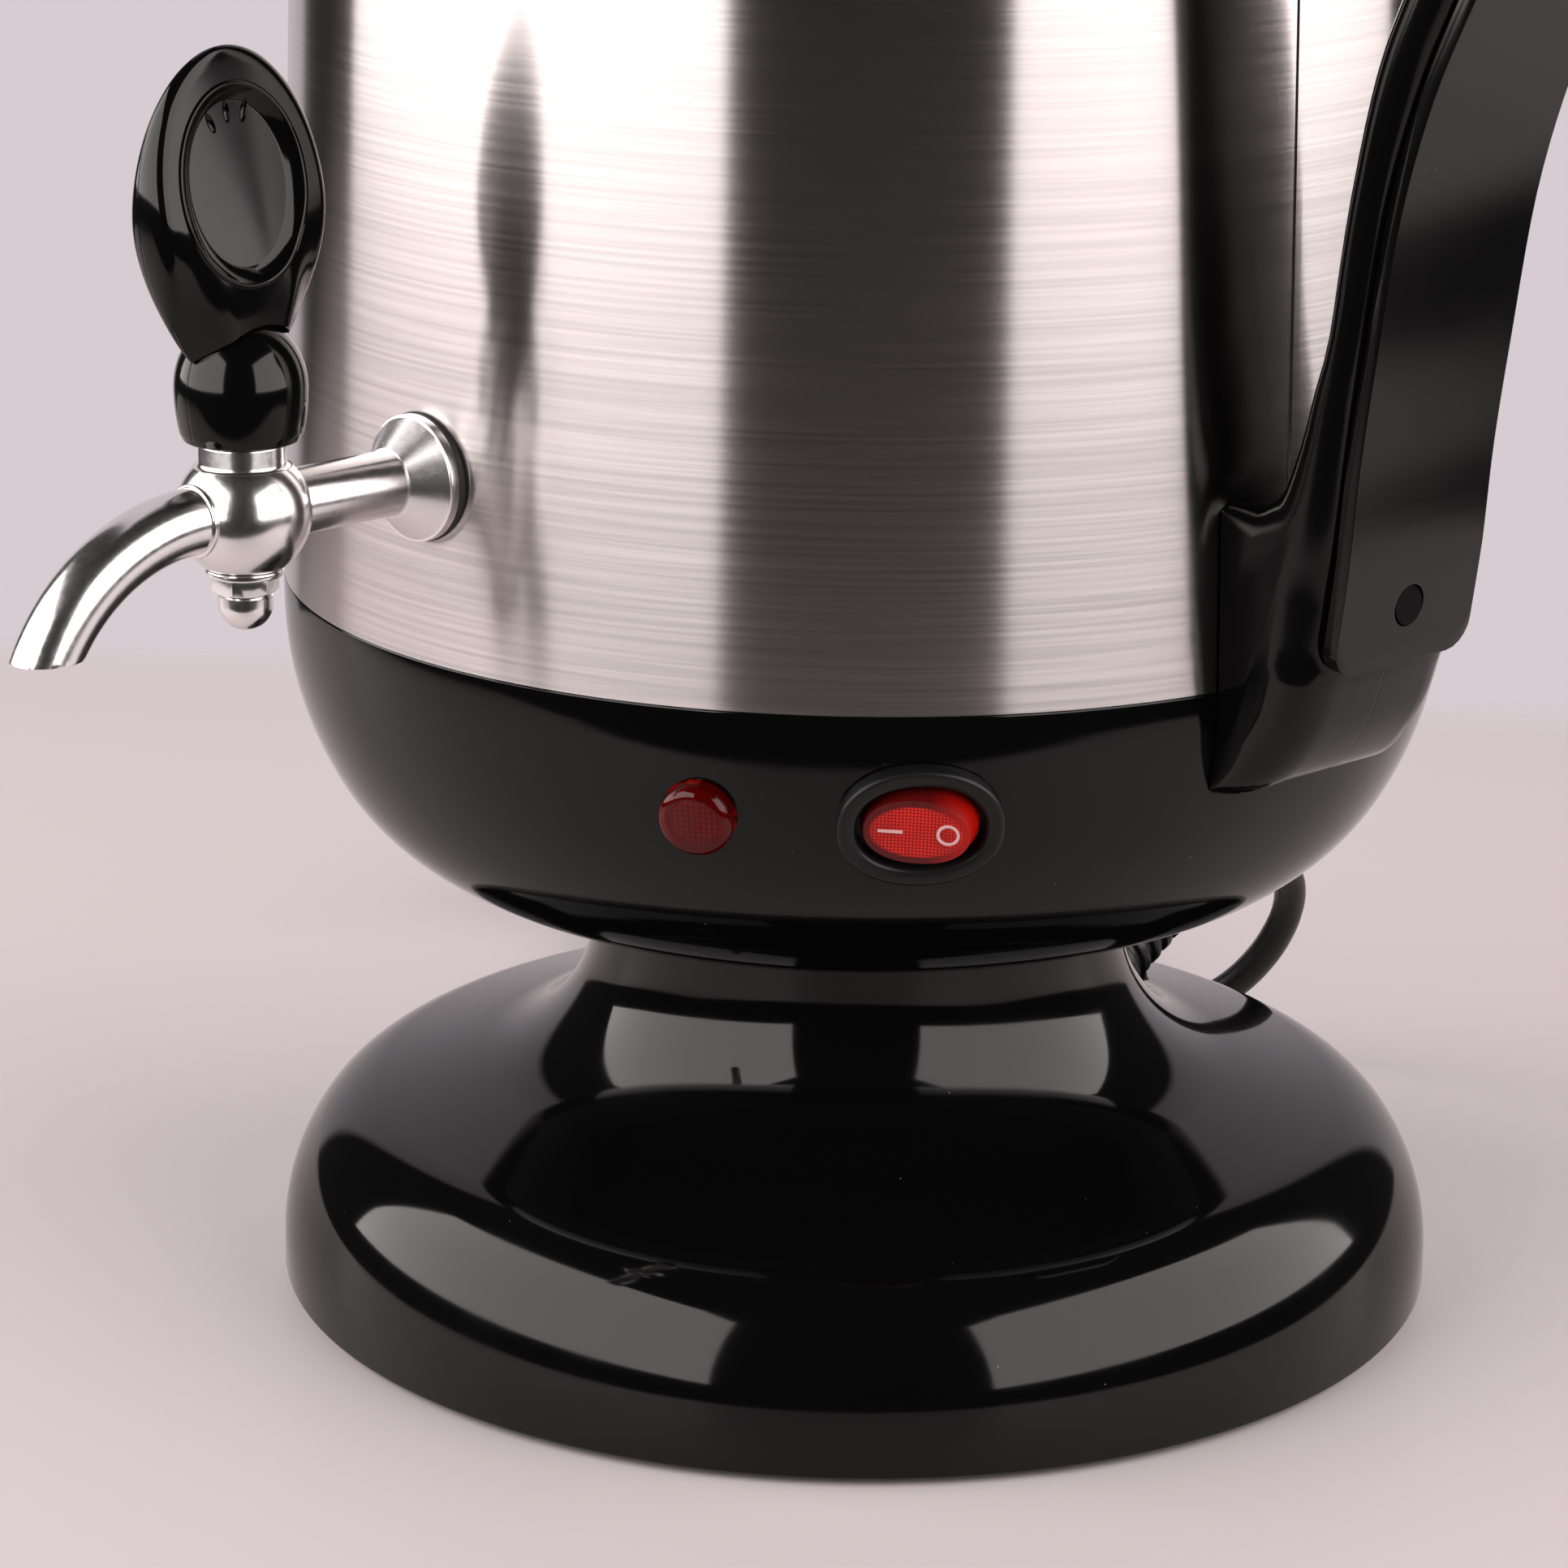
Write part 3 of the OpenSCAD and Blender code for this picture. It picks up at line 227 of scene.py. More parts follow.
def settle(name: str) -> bpy.types.Object:
    """Close a mesh in edit mode, turn its faces outwards and put its place in its mesh.

    Args:
        name: Name of the piece.

    Returns:
        The piece, at the origin.
    """
    weld()
    bpy.ops.mesh.normals_make_consistent(inside=False)
    bpy.ops.object.mode_set(mode="OBJECT")
    piece = bpy.context.object
    piece.name = name
    bpy.ops.object.transform_apply(location=True, rotation=True, scale=True)
    return piece


def turned(name: str, outline: Sequence[Point], place: Matrix = UPRIGHT, closed: bool = False,
           steps: int = ROUND_STEPS, sweep: float = 360.0) -> bpy.types.Object:
    """Spin an outline about a place's Z axis.

    Args:
        name: Name of the piece.
        outline: Pairs of radius and height.
        place: Where the axis is, in millimetres.
        closed: Whether the last point joins the first, as on a hollow piece.
        steps: Number of steps in the spin.
        sweep: Angle of the spin in degrees, under 360 for a strip with closed ends.

    Returns:
        The turned piece.
    """
    spots = [(place @ Vector((r, 0, h))) * MM for r, h in outline]
    if closed:
        spots.append(spots[0])
    clear_selection()
    draw(spots)
    bpy.ops.mesh.select_all(action="SELECT")
    bpy.ops.mesh.spin(steps=steps, angle=math.radians(sweep), center=place.translation * MM,
                      axis=place.col[2].to_3d())
    if sweep < 360:
        weld()
        bpy.ops.mesh.fill_holes(sides=0)
    return settle(name)


def rod(name: str, radius: float, low: float, high: float, place: Matrix = UPRIGHT,
        steps: int = HOLE_STEPS) -> bpy.types.Object:
    """A plain cylinder about a place's Z axis, as a tool or a blank."""
    return turned(name, rectangle(0, low, radius, high), place, steps=steps)


def ring(name: str, radii: Point, levels: Point, place: Matrix, edge: float,
         steps: int = RING_STEPS) -> bpy.types.Object:
    """A ring with rounded edges about a place's Z axis.

    Args:
        name: Name of the piece.
        radii: Inner and outer radius.
        levels: Where it starts and ends along the axis.
        place: Where the axis is, in millimetres.
        edge: How far from a corner its rounding starts.
        steps: Number of steps round it.

    Returns:
        The ring.
    """
    corners = rectangle(radii[0], levels[0], radii[1], levels[1])
    return turned(name, rounded(corners, edge), place, closed=True, steps=steps)


def slab(name: str, outline: Sequence[Sequence[float]], low: float, high: float,
         place: Matrix = UPRIGHT) -> bpy.types.Object:
    """Fill an outline in a place's XY plane and extrude it along Z.

    Args:
        name: Name of the piece.
        outline: Points of the closed outline.
        low: Where the slab starts along Z.
        high: Where it ends.
        place: Where the slab is, in millimetres.

    Returns:
        The slab.
    """
    clear_selection()
    draw([(place @ Vector((p[0], p[1], low))) * MM for p in outline])
    bpy.ops.mesh.select_all(action="SELECT")
    bpy.ops.mesh.edge_face_add()
    rise = place.col[2].to_3d() * (high - low) * MM
    bpy.ops.mesh.extrude_region_move(TRANSFORM_OT_translate={"value": rise})
    return settle(name)


def lofted(name: str, loops: Sequence[Sequence[Vector]]) -> bpy.types.Object:
    """Bridge closed loops of the same number of points, each to the next, and fill the two ends.

    Args:
        name: Name of the piece.
        loops: Loops of points in millimetres, from one end to the other.

    Returns:
        The closed piece.
    """
    strips = []
    for pair in zip(loops, loops[1:]):
        clear_selection()
        draw([p * MM for p in (*pair[0], pair[0][0])])
        bpy.ops.mesh.select_all(action="DESELECT")
        draw([p * MM for p in (*pair[1], pair[1][0])])
        weld()
        bpy.ops.mesh.bridge_edge_loops()
        strips.append(settle("loft_strip"))
    joined(*strips)
    bpy.ops.object.mode_set(mode="EDIT")
    weld()
    bpy.ops.mesh.fill_holes(sides=0)
    return settle(name)


def modify(piece: bpy.types.Object, kind: str, **settings: Any) -> None:
    """Add a modifier with its settings and apply it."""
    pick(piece)
    modifier = piece.modifiers.new(kind.title(), kind)
    for name, value in settings.items():
        setattr(modifier, name, value)
    bpy.ops.object.modifier_apply(modifier=modifier.name)


def cut(piece: bpy.types.Object, tool: bpy.types.Object, how: Cut = Cut.AWAY) -> None:
    """Cut a piece with a tool, or add the tool to it, and throw the tool away."""
    modify(piece, "BOOLEAN", operation=how.value, object=tool, solver="MANIFOLD")
    bpy.data.objects.remove(tool)


def soften(piece: bpy.types.Object, width: float, segments: int = 3, angle: float = 40.0) -> None:
    """Round the edges of a piece that are sharper than an angle in degrees."""
    modify(piece, "BEVEL", width=width * MM, segments=segments, limit_method="ANGLE",
           angle_limit=math.radians(angle), harden_normals=False)


def joined(piece: bpy.types.Object, *others: bpy.types.Object) -> bpy.types.Object:
    """Make several meshes one object, under the first one's name."""
    pick(piece)
    for other in others:
        other.select_set(True)
    bpy.ops.object.join()
    return piece


def mirrored(piece: bpy.types.Object, name: str) -> bpy.types.Object:
    """A copy of a piece on the other side of the YZ plane, with its own mesh."""
    pick(piece)
    bpy.ops.object.duplicate()
    copy = bpy.context.object
    bpy.ops.object.mode_set(mode="EDIT")
    bpy.ops.mesh.select_all(action="SELECT")
    bpy.ops.transform.resize(value=(-1, 1, 1), center_override=(0, 0, 0))
    bpy.ops.mesh.flip_normals()
    bpy.ops.object.mode_set(mode="OBJECT")
    copy.name = name
    return copy


# Finishes


class Nodes:
    """A node tree under construction. What a method returns as a socket can be joined to another node."""

    def __init__(self, tree: bpy.types.NodeTree) -> None:
        """Work on a tree."""
        self.tree = tree

    def node(self, kind: str, settings: dict[str, Any] | None = None,
             inputs: dict[str | int, Any] | None = None) -> bpy.types.Node:
        """Add a node.

        Args:
            kind: The node's type.
            settings: Its properties.
            inputs: Values for its sockets, or sockets to join to them.

        Returns:
            The node.
        """
        made = self.tree.nodes.new(kind)
        for name, value in (settings or {}).items():
            setattr(made, name, value)
        self.fill(made, inputs or {})
        return made

    def fill(self, node: bpy.types.Node, inputs: dict[str | int, Any]) -> None:
        """Set a node's sockets, or join other sockets to them."""
        for name, value in inputs.items():
            if isinstance(value, bpy.types.NodeSocket):
                self.tree.links.new(value, node.inputs[name])
            else:
                node.inputs[name].default_value = value

    def coords(self, scale: Sequence[float] = (1, 1, 1), place: Matrix | None = None) -> Any:
        """Object coordinates, seen from a place and scaled.

        Args:
            scale: Factors on the three coordinates.
            place: A place in millimetres whose axes the coordinates follow, or none.

        Returns:
            The socket of the coordinates.
        """
        spot = self.node("ShaderNodeTexCoord").outputs["Object"]
        if place is not None:
            spot = self.node("ShaderNodeMapping", {"vector_type": "TEXTURE"},
                             {"Vector": spot, "Location": place.translation * MM,
                              "Rotation": place.to_euler()}).outputs[0]
        return self.node("ShaderNodeMapping", None, {"Vector": spot, "Scale": scale}).outputs[0]

    def noise(self, scale: float | Sequence[float], detail: float = 3.0) -> Any:
        """Noise with so many features to the metre, as a socket from 0 to 1."""
        factors = (scale, scale, scale) if isinstance(scale, (int, float)) else scale
        return self.node("ShaderNodeTexNoise", None,
                         {"Vector": self.coords(factors), "Scale": 1.0, "Detail": detail}).outputs["Fac"]

    def fit(self, value: Any, low: float, high: float, new_low: float, new_high: float) -> Any:
        """A value's range stretched to another range and kept inside it, as a socket."""
        return self.node("ShaderNodeMapRange", None,
                         {"Value": value, "From Min": low, "From Max": high, "To Min": new_low,
                          "To Max": new_high}).outputs[0]

    def spread(self, noise: Any, low: float, high: float, reach: float = 0.2) -> Any:
        """Noise within a reach of its middle stretched to a range, as a socket."""
        return self.fit(noise, 0.5 - reach, 0.5 + reach, low, high)

    def ease(self, value: Any, low: float, high: float) -> Any:
        """A soft step from 0 to 1 between two values, as a socket."""
        return self.node("ShaderNodeMapRange", {"interpolation_type": "SMOOTHSTEP"},
                         {"Value": value, "From Min": low, "From Max": high}).outputs[0]

    def axes(self, spot: Any) -> Any:
        """The three coordinates of a vector, as sockets."""
        return self.node("ShaderNodeSeparateXYZ", None, {0: spot}).outputs

    def vector(self, operation: str, first: Any, second: Any = (0, 0, 0)) -> bpy.types.Node:
        """A node with one operation on two vectors or sockets."""
        return self.node("ShaderNodeVectorMath", {"operation": operation}, {0: first, 1: second})

    def maths(self, operation: str, first: Any, second: Any = 0.0) -> Any:
        """One operation on two numbers or sockets, as a socket."""
        return self.node("ShaderNodeMath", {"operation": operation}, {0: first, 1: second}).outputs[0]

    def mix(self, share: Any, first: Any, second: Any) -> Any:
        """A colour between two colours, as a socket."""
        node = self.node("ShaderNodeMix", {"data_type": "RGBA"}, {0: share, 6: first, 7: second})
        return node.outputs[2]

    def bump(self, height: Any, depth: float, strength: float = 1.0, under: Any = None) -> Any:
        """A bumped normal.

        Args:
            height: Socket of the height, from 0 to 1.
            depth: Depth of the relief in millimetres.
            strength: How much of it shows.
            under: Socket of a normal that this one lies on, or none.

        Returns:
            The socket of the normal.
        """
        inputs = {"Height": height, "Distance": depth * MM, "Strength": strength}
        if under is not None:
            inputs["Normal"] = under
        return self.node("ShaderNodeBump", None, inputs).outputs[0]

    def specks(self, per_metre: float, size: float, share: float) -> Any:
        """Scattered specks.

        Args:
            per_metre: Number of cells along a metre, each with room for a speck.
            size: Radius of a speck as a part of its cell.
            share: Part of the cells that has a speck.

        Returns:
            Socket that is 1 on a speck and 0 beside it.
        """
        cells = self.node("ShaderNodeTexVoronoi", None, {"Vector": self.coords(), "Scale": per_metre})
        spot = self.fit(cells.outputs["Distance"], 0.5 * size, size, 1.0, 0.0)
        kept = self.maths("LESS_THAN", cells.outputs["Color"], share)
        return self.maths("MULTIPLY", spot, kept)


class Shader(Nodes):
    """A material under construction."""

    def __init__(self, name: str) -> None:
        """Start a material with a plain surface."""
        self.material = bpy.data.materials.new(name)
        self.material.use_nodes = True
        super().__init__(self.material.node_tree)
        self.surface = self.tree.nodes["Principled BSDF"]

    def set(self, inputs: dict[str | int, Any]) -> None:
        """Set the surface's sockets, or join other sockets to them."""
        self.fill(self.surface, inputs)


MADE: dict["Finish", bpy.types.Material] = {}


@dataclass(frozen=True)
class Finish:
    """A surface finish; its slot names its material."""

    slot: str
    colour: Colour
    roughness: float = 0.4

    def material(self) -> bpy.types.Material:
        """The finish as a material, made once."""
        if self not in MADE:
            shader = Shader(f"{self.slot}_{len(MADE) + 1}")
            self.paint(shader)
            MADE[self] = shader.material
        return MADE[self]

    def toned(self, factor: float) -> Colour:
        """The colour made darker or lighter."""
        red, green, blue = (factor * c for c in self.colour[:3])
        return red, green, blue, 1

    def paint(self, shader: Shader) -> None:
        """Fill in the material's nodes."""
        raise NotImplementedError


class Parting(Enum):
    """The plane of a mould's parting line, by the coordinate that is zero there."""

    NONE = -1
    ACROSS_X = 0
    ACROSS_Y = 1


@dataclass(frozen=True)
class MouldedPlastic(Finish):
    """Moulded plastic: slightly wavy, with a cloudy gloss, dust and perhaps a parting line."""

    cloud: float = 0.03
    wave: float = 0.012
    dust: float = 0.35
    dust_colour: Colour = (0.30, 0.28, 0.27, 1)
    dust_roughness: float = 0.6
    dust_cells: float = 150.0
    dust_size: float = 0.022
    lint_cells: float = 420.0
    lint_size: float = 0.05
    lint_share: float = 0.4
    cloud_scale: float = 35.0
    wave_scale: float = 45.0
    index: float = 1.32
    parting: Parting = Parting.NONE
    line_half_w: Point = (0.06, 0.22)
    line_depth: float = 0.12

    def paint(self, shader: Shader) -> None:
        """Lay waves, cloudy gloss, dust specks and the parting line over the colour."""
        dust = shader.specks(self.dust_cells, self.dust_size, self.dust)
        lint = shader.specks(self.lint_cells, self.lint_size, self.dust / 2)
        dirt = shader.maths("MAXIMUM", dust, shader.maths("MULTIPLY", lint, self.lint_share))
        gloss = shader.spread(shader.noise(self.cloud_scale, 4), self.roughness - self.cloud,
                              self.roughness + self.cloud)
        shader.set({
            "Base Color": shader.mix(dirt, self.colour, self.dust_colour),
            "Roughness": shader.maths("MAXIMUM", gloss, shader.maths("MULTIPLY", dirt, self.dust_roughness)),
            "IOR": self.index,
        })
        normal = shader.bump(shader.noise(self.wave_scale, 2), self.wave)
        if self.parting is not Parting.NONE:
            off = shader.maths("ABSOLUTE", shader.axes(shader.coords())[self.parting.value])
            line = shader.fit(off, self.line_half_w[0] * MM, self.line_half_w[1] * MM, 0.0, 1.0)
            normal = shader.bump(line, self.line_depth, 1.0, normal)
        shader.set({"Normal": normal})


@dataclass(frozen=True)
class BrushedSteel(Finish):
    """Steel brushed round an upright axis."""

    streaks: tuple[float, float, float] = (14, 14, 1500)
    low_tone: float = 0.88
    uneven: float = 0.012
    anisotropy: float = 1.0
    quarter_turn: float = 0.25

    def paint(self, shader: Shader) -> None:
        """Brush the steel with fine streaks."""
        streaks = shader.noise(self.streaks, 3)
        around = shader.node("ShaderNodeTangent", {"direction_type": "RADIAL", "axis": "Z"})
        share = shader.spread(streaks, 0.0, 1.0, 0.15)
        shader.set({
            "Base Color": shader.mix(share, self.toned(self.low_tone), self.colour),
            "Metallic": 1.0,
            "Roughness": shader.spread(streaks, self.roughness - self.uneven, self.roughness + self.uneven),
            "Anisotropic": self.anisotropy,
            "Anisotropic Rotation": self.quarter_turn,
            "Tangent": around.outputs[0],
        })


@dataclass(frozen=True)
class Plating(Finish):
    """Polished or plain metal with fine scratches and pits."""

    scratch: float = 0.05
    grain: tuple[float, float, float] = (900, 900, 900)
    pits: float = 0.3
    pit_cells: float = 700.0
    pit_size: float = 0.07
    pit_tone: float = 0.4
    cloud_scale: float = 60.0
    relief: float = 0.004

    def paint(self, shader: Shader) -> None:
        """Scratch the metal and scatter pits over it."""
        pits = shader.specks(self.pit_cells, self.pit_size, self.pits)
        noises = [shader.noise(scale, 3) for scale in (self.grain, self.cloud_scale)]
        both = shader.maths("ADD", *[shader.maths("MULTIPLY", noise, 0.5) for noise in noises])
        shader.set({
            "Base Color": shader.mix(pits, self.colour, self.toned(self.pit_tone)),
            "Metallic": 1.0,
            "Roughness": shader.spread(both, self.roughness, self.roughness + self.scratch, 0.15),
            "Normal": shader.bump(both, self.relief, 0.5),
        })


@dataclass(frozen=True)
class MattSolid(Finish):
    """Rubber, ceramic or a sheath: a matt surface with a fine grain."""

    grain: float = 900.0
    relief: float = 0.03
    tint: float = 0.15
    cloud_scale: float = 40.0
    uneven: float = 0.08
    index: float = 1.45

    def paint(self, shader: Shader) -> None:
        """Grain the surface and vary its tone a little."""
        grain = shader.noise(self.grain, 4)
        cloud = shader.noise(self.cloud_scale, 3)
        shader.set({
            "Base Color": shader.mix(cloud, self.toned(1 - self.tint), self.colour),
            "Roughness": shader.spread(grain, self.roughness - self.uneven, self.roughness + self.uneven),
            "IOR": self.index,
            "Normal": shader.bump(grain, self.relief, 0.6),
        })


@dataclass(frozen=True)
class WovenStrap(Finish):
    """A woven strap with small ribs across it, its raised crossings lighter as a painted highlight."""

    pitch: float = 1.1
    waves_per_scale: float = 0.31
    # Tone of the weave's raised crossings: a painted highlight.
    crest_highlight_tone: float = 2.2
    sheen: float = 0.3
    relief: float = 0.15

    def paint(self, shader: Shader) -> None:
        """Weave the strap with two crossed waves, painting the raised crossings lighter as a painted
        highlight.
        """
        scale = self.waves_per_scale / (self.pitch * MM)
        waves = [shader.node("ShaderNodeTexWave", {"bands_direction": axis},
                             {"Vector": shader.coords(), "Scale": scale}) for axis in ("X", "Z")]
        weave = shader.maths("MULTIPLY", *[wave.outputs["Fac"] for wave in waves])
        shader.set({
            "Base Color": shader.mix(weave, self.colour, self.toned(self.crest_highlight_tone)),
            "Roughness": self.roughness,
            "Sheen Weight": self.sheen,
            "Normal": shader.bump(weave, self.relief, 0.7),
        })


@dataclass(frozen=True)
class RedGlass(Finish):
    """Clear red plastic that light passes through."""

    clear: float = 0.9
    cloud_scale: float = 200.0
    uneven: float = 0.02
    index: float = 1.30

    def paint(self, shader: Shader) -> None:
        """Set the clear red body with a faintly cloudy gloss."""
        cloud = shader.noise(self.cloud_scale, 3)
        shader.set({
            "Base Color": self.colour,
            "Roughness": shader.spread(cloud, self.roughness, self.roughness + self.uneven),
            "IOR": self.index,
            "Transmission Weight": self.clear,
        })


@dataclass(frozen=True)
class RedGrid(Finish):
    """Red plastic over a moulded grid of small squares with painted shade in its grooves, inside a rim
    darkened by painted shade with a painted glow on its right side.
    """

    # The rim's dark tone and the grooves' dark tone are painted shade; the glow on the rim's right side is
    # painted light.
    rim_shade_colour: Colour = (0.07, 0.003, 0.003, 1)
    groove_shade_colour: Colour = (0.16, 0.004, 0.004, 1)
    glow_colour: Colour = (0.30, 0.004, 0.002, 1)
    glow_from: float = 2.0
    glow_to: float = 8.5
    pitch: float = 0.62
    groove: Point = (0.08, 0.26)
    field_size: Point = (16.2, 9.8)
    field_edge: Point = (0.9, 1.08)
    cloud_scale: float = 160.0
    cloud_low: float = 0.55
    gloss_scale: float = 90.0
    uneven: float = 0.06
    index: float = 1.33
    place: tuple[tuple[float, ...], ...] = ()

    def paint(self, shader: Shader) -> None:
        """Draw the grid on the piece's own plane with painted shade in its grooves, darken its rim with
        painted shade and paint a glow of light on the rim's right side.
        """
        axes = shader.axes(shader.coords((1, 1, 1), Matrix(self.place)))
        pitch = self.pitch * MM
        low = shader.maths("MINIMUM", *[shader.maths("PINGPONG", axes[i], pitch / 2) for i in (0, 1)])
        square = shader.fit(low, self.groove[0] * pitch, self.groove[1] * pitch, 0.0, 1.0)
        shares = [shader.maths("DIVIDE", axes[i], self.field_size[i] * MM / 2) for i in (0, 1)]
        reach = shader.maths("ADD", *[shader.maths("POWER", share, 2.0) for share in shares])
        inside = shader.fit(reach, *self.field_edge, 1.0, 0.0)
        cloud = shader.spread(shader.noise(self.cloud_scale, 2), self.cloud_low, 1.0, 0.15)
        # Painted shade in the grooves between the squares.
        grid = shader.mix(shader.maths("MULTIPLY", square, cloud), self.groove_shade_colour, self.colour)
        # A painted glow across the rim's right side, over a rim tone of painted shade.
        glow = shader.fit(axes[0], self.glow_from * MM, self.glow_to * MM, 0.0, 1.0)
        rim = shader.mix(glow, self.rim_shade_colour, self.glow_colour)
        gloss = shader.noise(self.gloss_scale, 3)
        shader.set({
            "Base Color": shader.mix(inside, rim, grid),
            "Roughness": shader.spread(gloss, self.roughness, self.roughness + self.uneven),
            "IOR": self.index,
        })


# Places that the frame gives


def node_box(name: str) -> tuple[Vector, Vector]:
    """Lowest and highest corner of a solid, in millimetres."""
    low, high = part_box(name)
    return low / MM, high / MM


def turn(angle: float, axis: str) -> Matrix:
    """A turn about an axis through the origin, in degrees."""
    return Matrix.Rotation(math.radians(angle), 4, axis)


def shift(x: float, y: float, z: float) -> Matrix:
    """A move along the three axes."""
    return Matrix.Translation((x, y, z))


def rows(place: Matrix) -> tuple[tuple[float, ...], ...]:
    """A place as plain numbers."""
    return tuple(tuple(row) for row in place)


@dataclass(frozen=True)
class Places:
    """Levels and axes of the solids."""

    seam_z: float
    shell_top_z: float
    neck_z: float
    rim_z: float
    tap_z: float
    plug_y: float
    lid_z: float
    knob_z: float

    @classmethod
    def read(cls) -> "Places":
        """Read them from the frame."""
        shell_low, shell_high = node_box("boiler_shell")
        pipe_low, pipe_high = node_box("tap_shank")
        washer_low, washer_high = node_box("tap_washer")
        return cls(
            seam_z=shell_low.z,
            shell_top_z=shell_high.z,
            neck_z=node_box("lower_bowl")[0].z,
            rim_z=node_box("pedestal")[0].z,
            tap_z=(pipe_low.z + pipe_high.z) / 2,
            plug_y=(washer_low.y + washer_high.y) / 2,
            lid_z=node_box("lid")[0].z,
            knob_z=node_box("lid_knob")[0].z,
        )


PLACES = Places.read()

# The finishes of this samovar

GLOSS_BLACK = MouldedPlastic("black_gloss", (0.0016, 0.0016, 0.0017, 1), 0.075)
LEVER_BLACK = MouldedPlastic("black_gloss", (0.0018, 0.0018, 0.0018, 1), 0.09, dust=0.2,
                             parting=Parting.ACROSS_X)
HANDLE_BLACK = MouldedPlastic("black_gloss", (0.002, 0.002, 0.002, 1), 0.12, dust=0.25,
                              parting=Parting.ACROSS_Y)
PLATE_BLACK = MouldedPlastic("black_gloss", (0.002, 0.002, 0.002, 1), 0.12, dust=0.25)
BEZEL_BLACK = MouldedPlastic("black_gloss", (0.005, 0.005, 0.0052, 1), 0.36, cloud=0.05, wave=0.02, dust=0.3)
SATIN_BLACK = MouldedPlastic("black_satin", (0.005, 0.005, 0.0052, 1), 0.36, cloud=0.05, wave=0.02, dust=0.3)
SHELL_STEEL = BrushedSteel("brushed_steel", (0.49, 0.454, 0.446, 1), 0.232)
PLAIN_STEEL = Plating("plain_steel", (0.58, 0.57, 0.55, 1), 0.28, scratch=0.12)
CHROME = Plating("chrome", (0.80, 0.785, 0.78, 1), 0.15, scratch=0.07)
TURNED_CHROME = Plating("chrome", (0.80, 0.785, 0.78, 1), 0.22, scratch=0.06, pits=0.0)
BRASS = Plating("brass", (0.66, 0.48, 0.22, 1), 0.22, scratch=0.1)
CAST_ALUMINIUM = Plating("cast_aluminium", (0.56, 0.56, 0.57, 1), 0.5, scratch=0.15, grain=(300, 300, 300))
HEATER_STEEL = Plating("heater_steel", (0.20, 0.19, 0.18, 1), 0.35, scratch=0.2)
SCREW_STEEL = Plating("screw_steel", (0.50, 0.50, 0.50, 1), 0.3, scratch=0.1)
# Black-oxide steel for the handle screws, made darker still so that the heads give the painted shade of their
# deep holes.
OXIDE_AND_HOLE_SHADE_STEEL = Plating("dark_steel", (0.007, 0.007, 0.007, 1), 0.3, scratch=0.1)
PIN_NICKEL = Plating("pin_nickel", (0.68, 0.67, 0.63, 1), 0.12, scratch=0.08)
DARK_CERAMIC = MattSolid("dark_ceramic", (0.05, 0.05, 0.05, 1), 0.6)
WHITE_CERAMIC = MattSolid("white_ceramic", (0.80, 0.79, 0.75, 1), 0.7)
FOOT_RUBBER = MattSolid("foot_rubber", (0.016, 0.016, 0.016, 1), 0.6)
WHITE_SILICONE = MattSolid("white_silicone", (0.80, 0.80, 0.78, 1), 0.45, tint=0.05)
LEAD_BLACK = MattSolid("lead_black", (0.006, 0.006, 0.0063, 1), 0.34, grain=500, relief=0.01, index=1.34)
TIE_BLACK = WovenStrap("tie_black", (0.02, 0.02, 0.02, 1), 0.75)
RED_LENS = RedGlass("red_lens", (0.37, 0.005, 0.005, 1), 0.01)
MARK_WHITE = MattSolid("red_rocker", (0.62, 0.36, 0.36, 1), 0.4)


def hand_over(piece: bpy.types.Object, finish: Finish, body: Body, *nodes: str) -> bpy.types.Object:
    """Smooth, dress and tie a finished piece to its body.

    Args:
        piece: The piece, at the origin.
        finish: Its finish.
        body: The body that it rides on.
        nodes: The solids that it stands for.

    Returns:
        The piece.
    """
    if piece.type == "MESH":
        pick(piece)
        bpy.ops.object.shade_smooth_by_angle(angle=math.radians(SMOOTH_ANGLE))
    piece.data.materials.clear()
    piece.data.materials.append(finish.material())
    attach(piece, body.value)
    if nodes:
        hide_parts(*nodes)
    LOG.info("%s rides on %s for %s", piece.name, body.value, ", ".join(nodes) or "itself")
    return piece


# Sub-assemblies


@dataclass
class Boiler:
    """The steel shell with its lap seam."""

    lower_r: float = BODY_R
    upper_r: float = SHELL_TOP_R
    sheet: float = 0.8
    lap_angle: float = 88.6
    lap_w: float = 1.6
    lap_proud: float = 0.3
    lap_gap: float = 14.3
    lap_steps: int = 4
    rows: int = 20

    def radius(self, z: float) -> float:
        """Outer radius of the shell at a height."""
        share = (z - PLACES.seam_z) / (PLACES.shell_top_z - PLACES.seam_z)
        return self.lower_r + (self.upper_r - self.lower_r) * share

    def wall(self, proud: float, low: float, high: float) -> list[Point]:
        """A line up the wall, so far proud of it."""
        heights = [low + (high - low) * i / self.rows for i in range(self.rows + 1)]
        return [(self.radius(z) + proud, z) for z in heights]

    def build(self) -> None:
        """Spin the shell and the strip of its lap seam."""
        low, high = PLACES.seam_z, PLACES.shell_top_z
        outline = self.wall(0, low, high) + self.wall(-self.sheet, low, high)[::-1]
        shell = turned("steel_shell", outline, closed=True, steps=BODY_STEPS)
        lap_top = high - self.lap_gap
        strip = self.wall(self.lap_proud, low, lap_top) + self.wall(-self.sheet / 2, low, lap_top)[::-1]
        sweep = math.degrees(self.lap_w / self.lower_r)
        start = turn(self.lap_angle - 90 - sweep / 2, "Z")
        lap = turned("lap_strip", strip, start, closed=True, steps=self.lap_steps, sweep=sweep)
        hand_over(joined(shell, lap), SHELL_STEEL, Body.FRAME, "boiler_shell")


